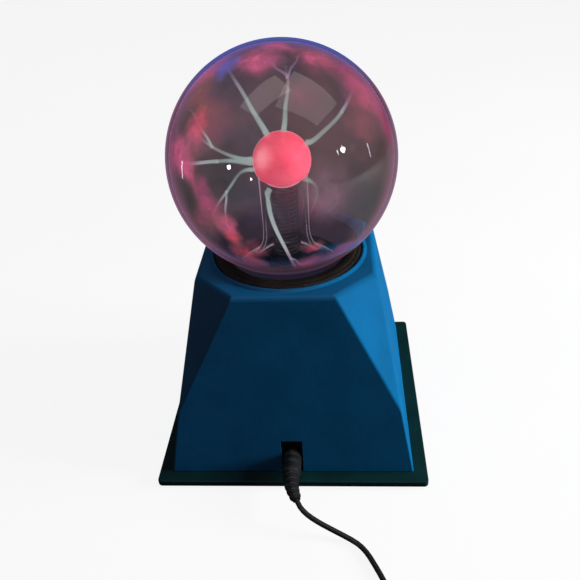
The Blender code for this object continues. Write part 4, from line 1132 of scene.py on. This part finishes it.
def make_streamers():
    finish = streamer_material()
    lines = []
    for start, end, bow, radius in STREAMERS:
        points = bowed(on_bulb(*start), on_shell(*end), bow, toward(*start), toward(*end))
        lines.append((points, tapered(radius, 1.45, 0.65, len(points))))
    for parent, share, end in BRANCHES:
        trunk, radii = lines[parent]
        k = round(share * (len(trunk) - 1))
        ahead = (trunk[k + 1] - trunk[k]).normalized()
        points = bowed(trunk[k], on_shell(*end), (0, 0, 0), ahead, toward(*end), 14)
        lines.append((points, tapered(radii[k], 0.90, 0.50, len(points))))
    for n, (points, radii) in enumerate(lines):
        light_piece(sweep(f"streamer_{n + 1}", points, radii, segments=16), finish)


# ---- Floor and lights --------------------
def make_stage():
    """A pale floor and a white backdrop, both far dimmer to reflections than to the camera."""
    made, tree, shader = new_material("pale_floor")
    cloud = noise(tree, object_place(tree), 6.0, 4.0)
    feed(tree, shader, {
        "Base Color": ramp(tree, cloud, (0.072, 0.072, 0.075), (0.086, 0.086, 0.088)),
        "Roughness": 0.9,
        "Specular IOR Level": 0.1,
        "Emission Color": (1.0, 1.0, 1.0, 1.0),
        "Emission Strength": spread(tree, is_ray(tree, "Camera"), 0.0, 1.0, 0.0, 0.90),
    })
    bm = bmesh.new()
    bmesh.ops.create_grid(bm, x_segments=1, y_segments=1, size=4.0)
    floor = add("floor", bm)
    floor.data.materials.append(made)
    world = bpy.data.worlds.new("studio")
    world.use_nodes = True
    tree = world.node_tree
    colour = add_mix(tree, is_ray(tree, "Camera"), (0.052, 0.054, 0.062, 1.0), (0.96, 0.96, 0.96, 1.0))
    feed(tree, tree.nodes["Background"], {"Color": colour})
    bpy.context.scene.world = world


def lamp(name, at, size, power, aim=(0, 0, 0.08), turn=0):
    """A rectangular lamp at the point at that faces aim, turned about its own axis by turn degrees."""
    data = bpy.data.lights.new(name, "AREA")
    data.shape = "RECTANGLE"
    data.size, data.size_y = size
    data.energy = power
    made = link(name, data)
    made.location = at
    facing = (Vector(at) - Vector(aim)).to_track_quat("Z", "Y").to_matrix()
    made.rotation_euler = (facing @ Matrix.Rotation(radians(turn), 3, "Z")).to_euler()
    made.visible_camera = False
    made.visible_transmission = False
    return made


def room_lamp(*values):
    """A lamp that lights the scene but isn't seen in reflections."""
    lamp(*values).visible_glossy = False


def glint(*values, colour=(1, 1, 1), **options):
    """A lamp that is only seen in reflections."""
    made = lamp(*values, **options)
    made.data.color = colour
    made.visible_diffuse = False


def make_lights():
    room_lamp("key", (0.78, -0.06, 0.27), (0.28, 0.28), 12.5)
    room_lamp("overhead", (0.10, 0.20, 0.90), (0.50, 0.50), 1.0)
    cool, violet = (0.7, 0.8, 1.0), (0.8, 0.8, 1.0)
    glint("glint_right", (0.54, -0.245, 0.312), (0.046, 0.046), 0.30, turn=45)
    glint("glint_right_small", (0.515, -0.300, 0.311), (0.016, 0.050), 0.05, colour=cool)
    glint("glint_left", (-0.43, -0.436, 0.262), (0.036, 0.036), 0.16, turn=45)
    glint("glint_front", (-0.245, -0.573, 0.19), (0.022, 0.022), 0.06)
    glint("strip_right", (0.600, 0.040, 0.170), (0.018, 0.10), 0.05, colour=violet)
    glint("strip_left", (-0.590, 0.105, 0.050), (0.018, 0.12), 0.05, colour=violet)
    below = (0, 0, -9)
    glint("window_left", (-0.15, -0.13, 0.95), (0.30, 0.58), 0.75, aim=below)
    glint("window_right", (0.42, -0.12, 0.95), (0.62, 0.72), 1.80, aim=below)


make_camera()
make_lead()
finish_cad_nodes()
make_housing()
make_screws()
make_slider()
make_gasket()
soften_plate()
make_globe()
make_stem()
make_gas()
make_streamers()
make_stage()
make_lights()
bpy.context.scene.view_settings.view_transform = "Standard"
